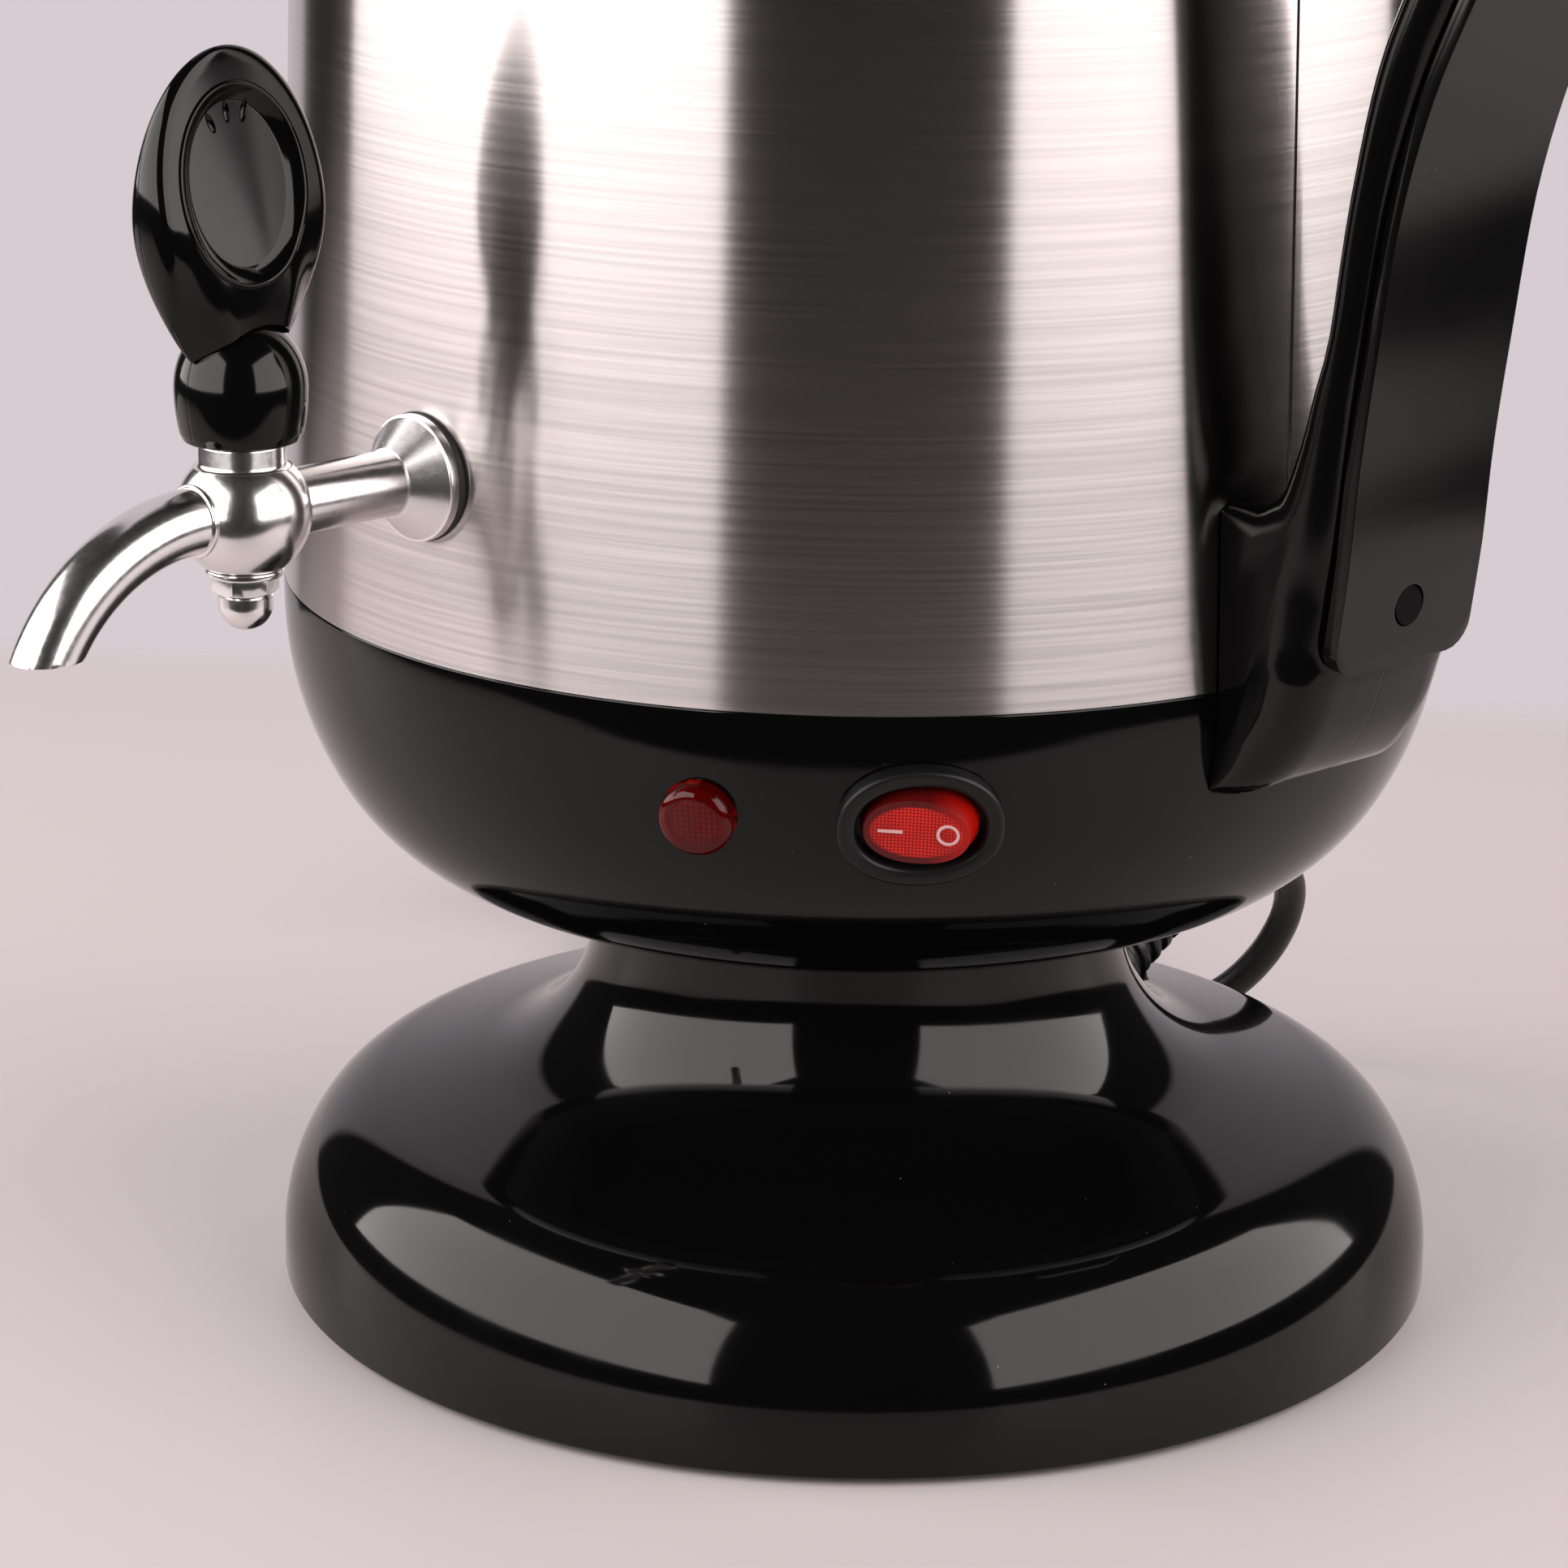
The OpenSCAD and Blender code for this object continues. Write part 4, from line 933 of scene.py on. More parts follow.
@dataclass
class Bowl:
    """The black bowl under the steel, with the seats of the lamp and the switch."""

    body_r: float = BODY_R
    wall: float = 3.0
    band_h: float = 4.6
    panel_drop: float = 19.6
    side_r: float = 66.0
    turn_angle: float = 30.0
    under_r: float = 44.0
    edge_r: float = 0.5
    wire_r: float = 14.0
    seat_depth: float = 0.9
    lens_seat_r: float = 6.95
    lamp_hole_r: float = 5.1
    bezel_seat: Point = (29.5, 23.1)
    bezel_power: float = 2.4
    box_hole: Point = (24.4, 18.0)
    box_power: float = 3.0
    tool_reach: float = 12.0

    def line(self, inset: float) -> list[Point]:
        """The bowl's side from its top edge to its flat bottom, moved inwards by an inset."""
        side_c = (self.body_r - self.side_r, PLACES.seam_z - self.band_h)
        step = self.side_r - self.under_r
        lean = math.radians(self.turn_angle)
        under_c = (side_c[0] + step * math.cos(lean), side_c[1] - step * math.sin(lean))
        return [*arc(side_c, self.side_r - inset, 0, -self.turn_angle, 20),
                *arc(under_c, self.under_r - inset, -self.turn_angle, -90, 28)[1:]]

    def place(self, angle: float) -> Matrix:
        """The place of the lamp or the switch on the side: Z points out of it and Y up.

        Args:
            angle: Direction from the tap towards the right handle, in degrees.

        Returns:
            The place, in millimetres.
        """
        tilt = math.asin((self.panel_drop - self.band_h) / self.side_r)
        r = self.body_r - self.side_r + self.side_r * math.cos(tilt)
        out = shift(0, -r, PLACES.seam_z - self.panel_drop)
        return turn(angle, "Z") @ out @ turn(90 + math.degrees(tilt), "X")

    def build(self, lamp: Matrix, switch: Matrix) -> None:
        """Spin the bowl and cut its two seats.

        Args:
            lamp: Place of the lamp.
            switch: Place of the switch.
        """
        top = PLACES.seam_z
        edge = arc((self.body_r - self.edge_r, top - self.edge_r), self.edge_r, 90, 0, 4)
        low = PLACES.neck_z
        outline = [*edge, *self.line(0), (self.wire_r, low), (self.wire_r, low + self.wall),
                   *self.line(self.wall)[::-1], (self.body_r - self.wall, top)]
        bowl = turned("black_bowl", outline, closed=True, steps=BODY_STEPS)
        depth, reach = -self.seat_depth, self.tool_reach
        stepped = [(0, -reach), (self.lamp_hole_r, -reach), (self.lamp_hole_r, depth),
                   (self.lens_seat_r, depth), (self.lens_seat_r, reach), (0, reach)]
        cut(bowl, turned("lamp_tool", stepped, lamp, steps=SMALL_STEPS))
        cut(bowl, slab("bezel_tool", oval(*self.bezel_seat, self.bezel_power), depth, reach, switch))
        cut(bowl, slab("box_tool", oval(*self.box_hole, self.box_power), -reach, 0.0, switch))
        hand_over(bowl, GLOSS_BLACK, Body.FRAME, "lower_bowl")


@dataclass
class Pedestal:
    """The black pedestal: rim, round shoulder, flare and neck."""

    rim_r: float = 112.3
    rim_h: float = 6.0
    edge_r: float = 0.9
    side_r: float = 37.0
    turn_angle: float = 36.0
    shoulder_r: float = 22.0
    slope: float = 15.0
    flare_r: float = 30.0
    neck_r: float = 51.5
    wall: float = 3.0
    web: float = 4.0
    wire_r: float = 14.0

    def shoulder(self) -> tuple[Point, Point]:
        """The middle of the shoulder's arc and its upper end."""
        step = self.side_r - self.shoulder_r
        lean = math.radians(self.turn_angle)
        middle = (self.rim_r - self.side_r + step * math.cos(lean),
                  PLACES.rim_z + self.rim_h + step * math.sin(lean))
        slope = math.radians(self.slope)
        end = (middle[0] + self.shoulder_r * math.sin(slope), middle[1] + self.shoulder_r * math.cos(slope))
        return middle, end

    def slope_z(self, r: float) -> float:
        """Height of the shoulder's sloping top at a radius."""
        end = self.shoulder()[1]
        return end[1] + (end[0] - r) * math.tan(math.radians(self.slope))

    def line(self, inset: float) -> list[Point]:
        """The outside from the rim to the neck, moved inwards by an inset."""
        side_c = (self.rim_r - self.side_r, PLACES.rim_z + self.rim_h)
        middle = self.shoulder()[0]
        flare_x = self.neck_r + self.flare_r
        slope = math.radians(self.slope)
        start_z = self.slope_z(flare_x - self.flare_r * math.sin(slope))
        flare_c = (flare_x, start_z + self.flare_r * math.cos(slope))
        return [*arc(side_c, self.side_r - inset, 0, self.turn_angle, 16),
                *arc(middle, self.shoulder_r - inset, self.turn_angle, 90 - self.slope, 16)[1:],
                *arc(flare_c, self.flare_r + inset, 270 - self.slope, 180, 24),
                (self.neck_r - inset, PLACES.neck_z)]

    def build(self) -> None:
        """Spin the pedestal."""
        edge = arc((self.rim_r - self.edge_r, PLACES.rim_z + self.edge_r), self.edge_r, -90, 0, 5)
        web_z = PLACES.neck_z - self.web
        inner = [p for p in self.line(self.wall) if p[1] < web_z]
        outline = [(self.rim_r - self.wall, PLACES.rim_z), *edge, *self.line(0), (self.wire_r, PLACES.neck_z),
                   (self.wire_r, web_z), (self.neck_r - self.wall, web_z), *inner[::-1]]
        pedestal = turned("black_pedestal", outline, closed=True, steps=BODY_STEPS)
        hand_over(pedestal, GLOSS_BLACK, Body.FRAME, "pedestal")


@dataclass
class Tap:
    """The plated tap: gasket, flange, pipe, ball, spout, washer and cap nut."""

    wall_r: float
    pipe_r: float = 5.75
    bore_r: float = 3.8
    gasket_r: float = 11.4
    gasket_t: float = 0.5
    gasket_sink: float = 0.7
    lift: float = 2.0
    seal_r: float = 9.6
    nut_r: float = 9.75
    flange_r: float = 11.2
    flange_rim_t: float = 1.9
    flange_step: float = 0.4
    flange_cone_h: float = 5.2
    flange_top_r: float = 6.0
    pipe_inside: float = 11.6
    pipe_end: float = 6.5
    ball_r: float = 11.6
    ball_flat: float = 9.4
    neck_r: float = 7.5
    neck_top: float = 12.2
    neck_fillet: float = 0.9
    lip_r: float = 0.5
    lip_in_r: float = 5.1
    lip_depth: float = 3.0
    ring_r: float = 6.3
    ring_t: float = 0.9
    bend_r: float = 35.0
    bend_turn: float = 85.0
    bend_steps: int = 48
    spout_drop: float = 18.4
    washer_r: float = 6.7
    washer_t: float = 1.2
    washer_gap: float = 0.25
    stem_r: float = 3.1
    nut_corner_r: float = 5.8
    nut_t: float = 3.0
    nut_chamfer: Point = (0.55, 0.3)
    nut_edge: float = 0.12
    nut_over: float = 0.1
    dome_r: float = 4.7
    dome_straight: float = 2.0
    dome_groove: float = 0.35
    dome_step: float = 0.6
    dome_sunk: float = 0.5
    edge: float = 0.3
    gasket_edge: float = 0.4
    washer_edge: float = 0.35
    mouth_edge: float = 0.25
    ring_edge: float = 0.45
    ring_in: float = 0.4

    def at_wall(self) -> Matrix:
        """The place on the shell: Z points out of it and Y up."""
        return shift(0, -self.wall_r, PLACES.tap_z + self.lift) @ turn(90, "X")

    def at_plug(self) -> Matrix:
        """The place on the plug's axis, upright, at the height of the pipe."""
        return shift(0, PLACES.plug_y, PLACES.tap_z + self.lift)

    def build(self) -> None:
        """Turn, bend and dress the tap's fixed pieces and the two that turn with its key."""
        wall = self.at_wall()
        levels = (-self.gasket_sink, self.gasket_t)
        gasket = ring("tap_rubber_ring", (self.pipe_r, self.gasket_r), levels, wall, self.gasket_edge)
        hand_over(gasket, FOOT_RUBBER, Body.FRAME, "tap_gasket")
        rim_top = self.gasket_t + self.flange_rim_t
        cone_top = rim_top + self.flange_cone_h
        corners = [(self.pipe_r, self.gasket_t), (self.flange_r, self.gasket_t), (self.flange_r, rim_top),
                   (self.flange_r - self.flange_step, rim_top), (self.flange_top_r, cone_top),
                   (self.pipe_r, cone_top)]
        flange = turned("chrome_flange", rounded(corners, self.edge), wall, closed=True, steps=TAP_STEPS)
        hand_over(flange, TURNED_CHROME, Body.FRAME, "tap_flange")
        reach = -PLACES.plug_y - self.wall_r - self.pipe_end
        pipe = ring("chrome_pipe", (self.bore_r, self.pipe_r), (-self.pipe_inside, reach), wall, self.edge)
        hand_over(pipe, CHROME, Body.FRAME, "tap_shank")
        hand_over(self.ball(), CHROME, Body.FRAME, "tap_ball")
        hand_over(self.spout(), CHROME, Body.FRAME, "tap_spout")
        top = -self.ball_flat - self.washer_gap
        low = top - self.washer_t
        radii = (self.stem_r, self.washer_r)
        washer = ring("chrome_washer", radii, (low, top), self.at_plug(), self.washer_edge)
        hand_over(washer, CHROME, Body.TAP_KEY, "tap_washer")
        hand_over(self.cap_nut(low), CHROME, Body.TAP_KEY, "tap_cap_nut")
        seal = self.inner_ring("tap_seal_ring", "tap_inner_seal", self.seal_r, RING_STEPS)
        hand_over(seal, FOOT_RUBBER, Body.FRAME, "tap_inner_seal")
        nut = self.inner_ring("tap_back_nut", "tap_lock_nut", self.nut_r, HEX_SIDES)
        hand_over(nut, BRASS, Body.FRAME, "tap_lock_nut")

    def inner_ring(self, name: str, node: str, outer: float, sides: int) -> bpy.types.Object:
        """A ring or nut on the pipe inside the shell, as deep as its solid.

        Args:
            name: Name of the piece.
            node: The solid that it stands for.
            outer: Its outer radius, over the corners.
            sides: Number of its sides.

        Returns:
            The ring.
        """
        low, high = node_box(node)
        inner = (self.bore_r + self.pipe_r) / 2
        levels = (-self.wall_r - high.y, -self.wall_r - low.y)
        return ring(name, (inner, outer), levels, self.at_wall(), self.edge, sides)

    def ball(self) -> bpy.types.Object:
        """The ball housing with its flat bottom and neck ring."""
        low = -math.degrees(math.asin(self.ball_flat / self.ball_r))
        high = math.degrees(math.acos((self.neck_r + self.neck_fillet) / self.ball_r))
        foot_z = self.ball_r * math.sin(math.radians(high))
        bend = self.neck_fillet
        fillet = arc((self.neck_r + bend, foot_z + bend), bend, 270, 180, 5)
        top = self.neck_top
        corners = [(0, top - 2), (self.neck_r, top - 4), (self.neck_r, top), (self.lip_in_r + 0.1, top)]
        crown = rounded(corners, self.lip_r)
        lip = [p for p in crown if p[0] > self.lip_in_r - 0.1 and p[1] > top - 1]
        outline = [(self.stem_r, -self.ball_flat), *arc((0, 0), self.ball_r, low, high, 40), *fillet, *lip,
                   (self.lip_in_r, top - self.lip_depth), (self.stem_r, top - self.lip_depth)]
        return turned("chrome_ball", outline, self.at_plug(), closed=True, steps=TAP_STEPS)

    def spout(self) -> bpy.types.Object:
        """The bent spout with its level mouth and the ring over its joint."""
        socket = math.sqrt(self.ball_r ** 2 - self.pipe_r ** 2)
        straight = socket + self.ring_t / 2
        start = self.at_plug() @ Vector((0, -self.pipe_end, 0))
        bend = self.at_plug() @ Vector((0, -straight, -self.bend_r))
        clear_selection()
        bpy.ops.mesh.primitive_circle_add(vertices=SMALL_STEPS, radius=self.pipe_r * MM, location=start * MM,
                                          rotation=(math.radians(90), 0, 0))
        bpy.ops.object.mode_set(mode="EDIT")
        ahead = Vector((0, self.pipe_end - straight, 0)) * MM
        bpy.ops.mesh.extrude_edges_move(TRANSFORM_OT_translate={"value": ahead})
        bpy.ops.mesh.spin(steps=self.bend_steps, angle=math.radians(self.bend_turn), center=bend * MM,
                          axis=(-1, 0, 0))
        tube = settle("chrome_spout")
        modify(tube, "SOLIDIFY", thickness=(self.pipe_r - self.bore_r) * MM, offset=-1.0)
        half = 3 * self.ball_r
        corners = rectangle(-half, -3 * half, half, half)
        cut(tube, slab("mouth_tool", corners, -3 * half, -self.spout_drop, self.at_plug()))
        soften(tube, self.mouth_edge, 2, 50)
        facing = self.at_plug() @ turn(90, "X")
        radii = (self.bore_r + self.ring_in, self.ring_r)
        collar = ring("spout_ring", radii, (socket, socket + self.ring_t), facing, self.ring_edge)
        return joined(tube, collar)

    def cap_nut(self, top: float) -> bpy.types.Object:
        """The hexagon nut with its dome, hanging from a height under the pipe's axis."""
        place = self.at_plug()
        low = top - self.nut_t
        hexagon = slab("cap_nut", arc((0, 0), self.nut_corner_r, 0, 300, 5), low, top, place)
        waist = self.nut_corner_r * math.cos(math.pi / HEX_SIDES)
        corner = self.nut_corner_r + self.nut_over
        below, above = self.nut_chamfer
        outline = [(0, low), (waist, low), (corner, low + below), (corner, top - above), (waist + above, top),
                   (0, top)]
        cut(hexagon, turned("nut_tool", outline, place, steps=RING_STEPS), Cut.KEEP)
        soften(hexagon, self.nut_edge, 2, 25)
        waist = self.dome_r - self.dome_groove
        outline = [(0, low + self.dome_sunk), (waist, low + self.dome_sunk), (waist, low - self.dome_groove),
                   (self.dome_r, low - self.dome_step),
                   *arc((0, low - self.dome_straight), self.dome_r, 0, -90, 20)]
        dome = turned("nut_dome", outline, place, steps=RING_STEPS)
        return joined(hexagon, dome)


@dataclass(frozen=True)
class Loop:
    """One loop of the lever's dish: how far it stands out of the face, and how far inside the dish's edge."""

    out: float
    inset: float


@dataclass
class Lever:
    """The tap's black lever: a barrel hub under a wedge-shaped egg with a shallow dish on each side."""

    hub_low: float = 14.5
    hub_r: float = 11.3
    hub_foot_r: float = 10.1
    hub_edge_r: float = 0.8
    hub_mid: float = 9.0
    hub_top: float = 36.2
    middle: float = 55.5
    half_w: float = 18.6
    up: float = 25.6
    down: float = 31.2
    face: float = 4.1
    least_face: float = 1.1
    taper: float = 0.138
    bend_z: float = 44.0
    bend: float = 0.0138
    tip_z: float = 56.0
    tip_h: float = 26.0
    tip_start: float = 0.4
    most_rise: float = 0.98
    tip_thin: float = 0.85
    dish_middle: float = 58.4
    dish_half_w: float = 13.8
    dish_half_h: float = 17.2
    arch_r: float = 12.95
    arch_z: float = 21.85
    lean: float = 3.2
    lean_z: float = 25.0
    turned_by: float = 3.4
    count: int = 144
    between: int = 6
    edge: tuple[Point, ...] = (
        (0.0, 0.0), (0.28, 0.06), (0.52, 0.24), (0.72, 0.55), (0.87, 0.98), (0.96, 1.5), (1.0, 2.1))
    dish: tuple[Loop, ...] = (
        Loop(0.0, 0.0), Loop(-0.1, 0.12), Loop(0.0, 0.26), Loop(0.2, 0.42), Loop(0.26, 0.65), Loop(0.2, 0.88),
        Loop(0.0, 1.1), Loop(-0.45, 1.55), Loop(-0.85, 2.1), Loop(-1.15, 2.65), Loop(-1.38, 3.15),
        Loop(-1.5, 3.45), Loop(-1.5, 3.6), Loop(-1.5, 4.2))
    petals: tuple[tuple[float, float, float], ...] = (
        (-3.9, 69.2, 20.0), (-0.2, 70.5, 0.0), (3.5, 70.0, -20.0))
    petal_size: tuple[float, float, float] = (0.8, 0.8, 2.1)
    petal_out: float = 0.3

    def place(self) -> Matrix:
        """The place on the plug's axis, at the height of the pipe."""
        return shift(0, PLACES.plug_y, PLACES.tap_z)

    def blade_place(self) -> Matrix:
        """The place of the blade, which leans a little outwards and is turned a little."""
        pivot = shift(0, 0, self.lean_z)
        return self.place() @ turn(self.turned_by, "Z") @ pivot @ turn(self.lean, "X") @ pivot.inverted()

    def build(self) -> None:
        """Model the blade and the hub and make them one piece."""
        lever = self.blade()
        cut(lever, self.hub(), Cut.ADD)
        hand_over(lever, LEVER_BLACK, Body.TAP_KEY, "tap_lever")

    def hub(self) -> bpy.types.Object:
        """The barrel under the blade."""
        widest = self.hub_low + self.hub_mid
        lean = math.degrees(math.acos(self.hub_foot_r / self.hub_r))
        reach = self.hub_mid / math.sin(math.radians(lean))
        rise = self.hub_top - widest
        below = [(r, widest + (z - widest) * reach / self.hub_r)
                 for r, z in arc((0, widest), self.hub_r, -lean, 0, 14)]
        above = [(r, widest + (z - widest) * rise / self.hub_r)
                 for r, z in arc((0, widest), self.hub_r, 0, 90, 30)]
        edge = self.hub_edge_r
        foot = arc((self.hub_foot_r - edge, self.hub_low + edge), edge, -90, 0, 5)
        outline = [(0, self.hub_low), *foot, *below[2:], *above[1:]]
        return turned("lever_hub", outline, self.place(), steps=TAP_STEPS)

    def plane(self, z: float) -> float:
        """Half the thickness of a plain wedge at a height."""
        return self.face - self.taper * (z - self.dish_middle)

    def face_at(self, y: float, z: float) -> float:
        """Half the blade's thickness at a point, less towards its two lower tips."""
        bent = self.plane(z) - self.bend * max(self.bend_z - z, 0.0) ** 2
        low = min(max((self.tip_z - z) / self.tip_h, 0.0), 1.0)
        rise = min(max((self.middle - z) / self.down, 0.0), self.most_rise)
        across = abs(y) / (self.half_w * math.sqrt(1 - rise * rise))
        wide = min(max((across - self.tip_start) / (1 - self.tip_start), 0.0), 1.0)
        thin = self.tip_thin * low * low * (3 - 2 * low) * wide * wide * (3 - 2 * wide)
        return max(bent, self.least_face) * (1 - thin)

    def egg(self, inset: float) -> list[Point]:
        """Points across and up the blade, so far inside its edge."""
        points = []
        for i in range(self.count):
            a = 2 * math.pi * i / self.count
            reach = (self.up if math.sin(a) > 0 else self.down) - inset
            points.append(((self.half_w - inset) * math.cos(a), self.middle + reach * math.sin(a)))
        return points

    def oval(self, inset: float) -> list[Point]:
        """Points across and up the blade, so far inside the dish's edge."""
        points = oval(2 * (self.dish_half_w - inset), 2 * (self.dish_half_h - inset), 2.0, self.count)
        return [(y, self.dish_middle + z) for y, z in points]

    def loops(self) -> list[list[Vector]]:
        """The blade's loops from its parting plane to the floor of one dish."""
        made = [[Vector((share * self.face_at(y, z), y, z)) for y, z in self.egg(inset)]
                for share, inset in self.edge]
        start, end = self.egg(self.edge[-1][1]), self.oval(0)
        for k in range(1, self.between):
            t = k / self.between
            spots = [(a[0] + (b[0] - a[0]) * t, a[1] + (b[1] - a[1]) * t) for a, b in zip(start, end)]
            made.append([Vector((self.face_at(y, z), y, z)) for y, z in spots])
        floor = min(p.out for p in self.dish)
        for p in self.dish:
            flat = max(p.out / floor, 0.0)
            made.append([Vector((self.face_at(y, z) * (1 - flat) + self.plane(z) * flat + p.out, y, z))
                         for y, z in self.oval(p.inset)])
        return made

    def blade(self) -> bpy.types.Object:
        """The blade: loops from dish to dish, arched over the hub, with three dents in each dish."""
        side = self.loops()
        other = [[Vector((-p.x, p.y, p.z)) for p in loop] for loop in side]
        place = self.blade_place()
        blade = lofted("black_lever", [[place @ p for p in loop] for loop in other[:0:-1] + side])
        for side_sign in (-1, 1):
            for petal in self.petals:
                cut(blade, self.petal(petal, side_sign))
        across = place @ shift(0, 0, self.arch_z) @ turn(90, "Y")
        reach = 2 * self.half_w
        cut(blade, rod("arch_tool", self.arch_r, -reach, reach, across, TAP_STEPS))
        return blade

    def petal(self, spot: tuple[float, float, float], side_sign: int) -> bpy.types.Object:
        """The tool of one small dent at the top of a dish.

        Args:
            spot: Its place across and up the dish and its lean in degrees.
            side_sign: Which side of the blade it is on.

        Returns:
            The tool.
        """
        out = self.plane(spot[1]) + self.dish[-1].out + self.petal_out
        middle = self.blade_place() @ shift(side_sign * out, *spot[:2]) @ turn(spot[2], "X")
        clear_selection()
        bpy.ops.mesh.primitive_uv_sphere_add(segments=24, ring_count=16, radius=MM, scale=self.petal_size,
                                             location=middle.translation * MM, rotation=middle.to_euler())
        bpy.ops.object.mode_set(mode="EDIT")
        return settle("petal_tool")


@dataclass
class Lamp:
    """The red lamp: a clear cap with a round shoulder over a moulded grid."""

    angle: float = 30.2
    lens_r: float = 6.7
    face_h: float = 3.5
    face_rise: float = 0.4
    shoulder_r: float = 2.0
    seat: float = 0.9
    shell_t: float = 0.9
    grid_r: float = 4.0
    grid_z: float = 1.9
    grid_cells: int = 8
    grid_sink: float = 0.05
    grid_rise: float = 0.1
    pillow: tuple[Point, ...] = ((0.12, 0.14), (0.14, 0.10))
    disc_over: float = 1.5
    disc_t: float = 1.5
    rise_steps: int = 5

    def cap(self, inset: float) -> list[Point]:
        """The cap's side from its wall over its shoulder to its axis, moved inwards by an inset."""
        flat = self.lens_r - self.shoulder_r
        shoulder = arc((flat, self.face_h - self.shoulder_r), self.shoulder_r - inset, 0, 90, 10)
        shares = [1 - (i + 1) / self.rise_steps for i in range(self.rise_steps)]
        return [*shoulder, *[(flat * t, self.face_h - inset + self.face_rise * (1 - t * t)) for t in shares]]

    def build(self, place: Matrix) -> None:
        """Turn the lens and set the grid under it.

        Args:
            place: Place of the lamp on the wall.
        """
        wall = [(self.lens_r - self.shell_t, -self.seat), (self.lens_r, -self.seat)]
        outline = [*self.cap(self.shell_t)[::-1], *wall, *self.cap(0)]
        lens = turned("lamp_dome", outline, place, steps=RING_STEPS)
        disc_r = self.grid_r + self.disc_over
        base = rod("lamp_grid_disc", disc_r, self.grid_z - self.disc_t, self.grid_z, place)
        hand_over(lens, RED_LENS, Body.FRAME, "lamp_lens")
        # The grid disc's rim is painted near black as shade in the lamp's hollow, with a painted glow on its
        # right side. The grid's grooves get painted shade.
        grid = RedGrid("red_lens", (0.80, 0.03, 0.015, 1), 0.25, rim_shade_colour=(0.04, 0.001, 0.001, 1),
                       groove_shade_colour=(0.03, 0.001, 0.001, 1), glow_from=3.5, glow_to=5.0, pitch=1.0,
                       field_size=(8.4, 8.4), place=rows(place))
        hand_over(joined(base, self.squares(place)), grid, Body.FRAME)

    def squares(self, place: Matrix) -> bpy.types.Object:
        """A disc of small pillowed squares."""
        clear_selection()
        middle = place @ shift(0, 0, self.grid_z - self.grid_sink)
        bpy.ops.mesh.primitive_grid_add(x_subdivisions=self.grid_cells, y_subdivisions=self.grid_cells,
                                        size=2 * self.grid_r * MM, location=middle.translation * MM,
                                        rotation=middle.to_euler())
        bpy.ops.object.mode_set(mode="EDIT")
        rise = middle.col[2].to_3d() * self.grid_rise * MM
        bpy.ops.mesh.extrude_region_move(TRANSFORM_OT_translate={"value": rise})
        for width, height in self.pillow:
            bpy.ops.mesh.inset(thickness=width * MM, depth=height * MM, use_individual=True)
        return settle("lamp_squares")


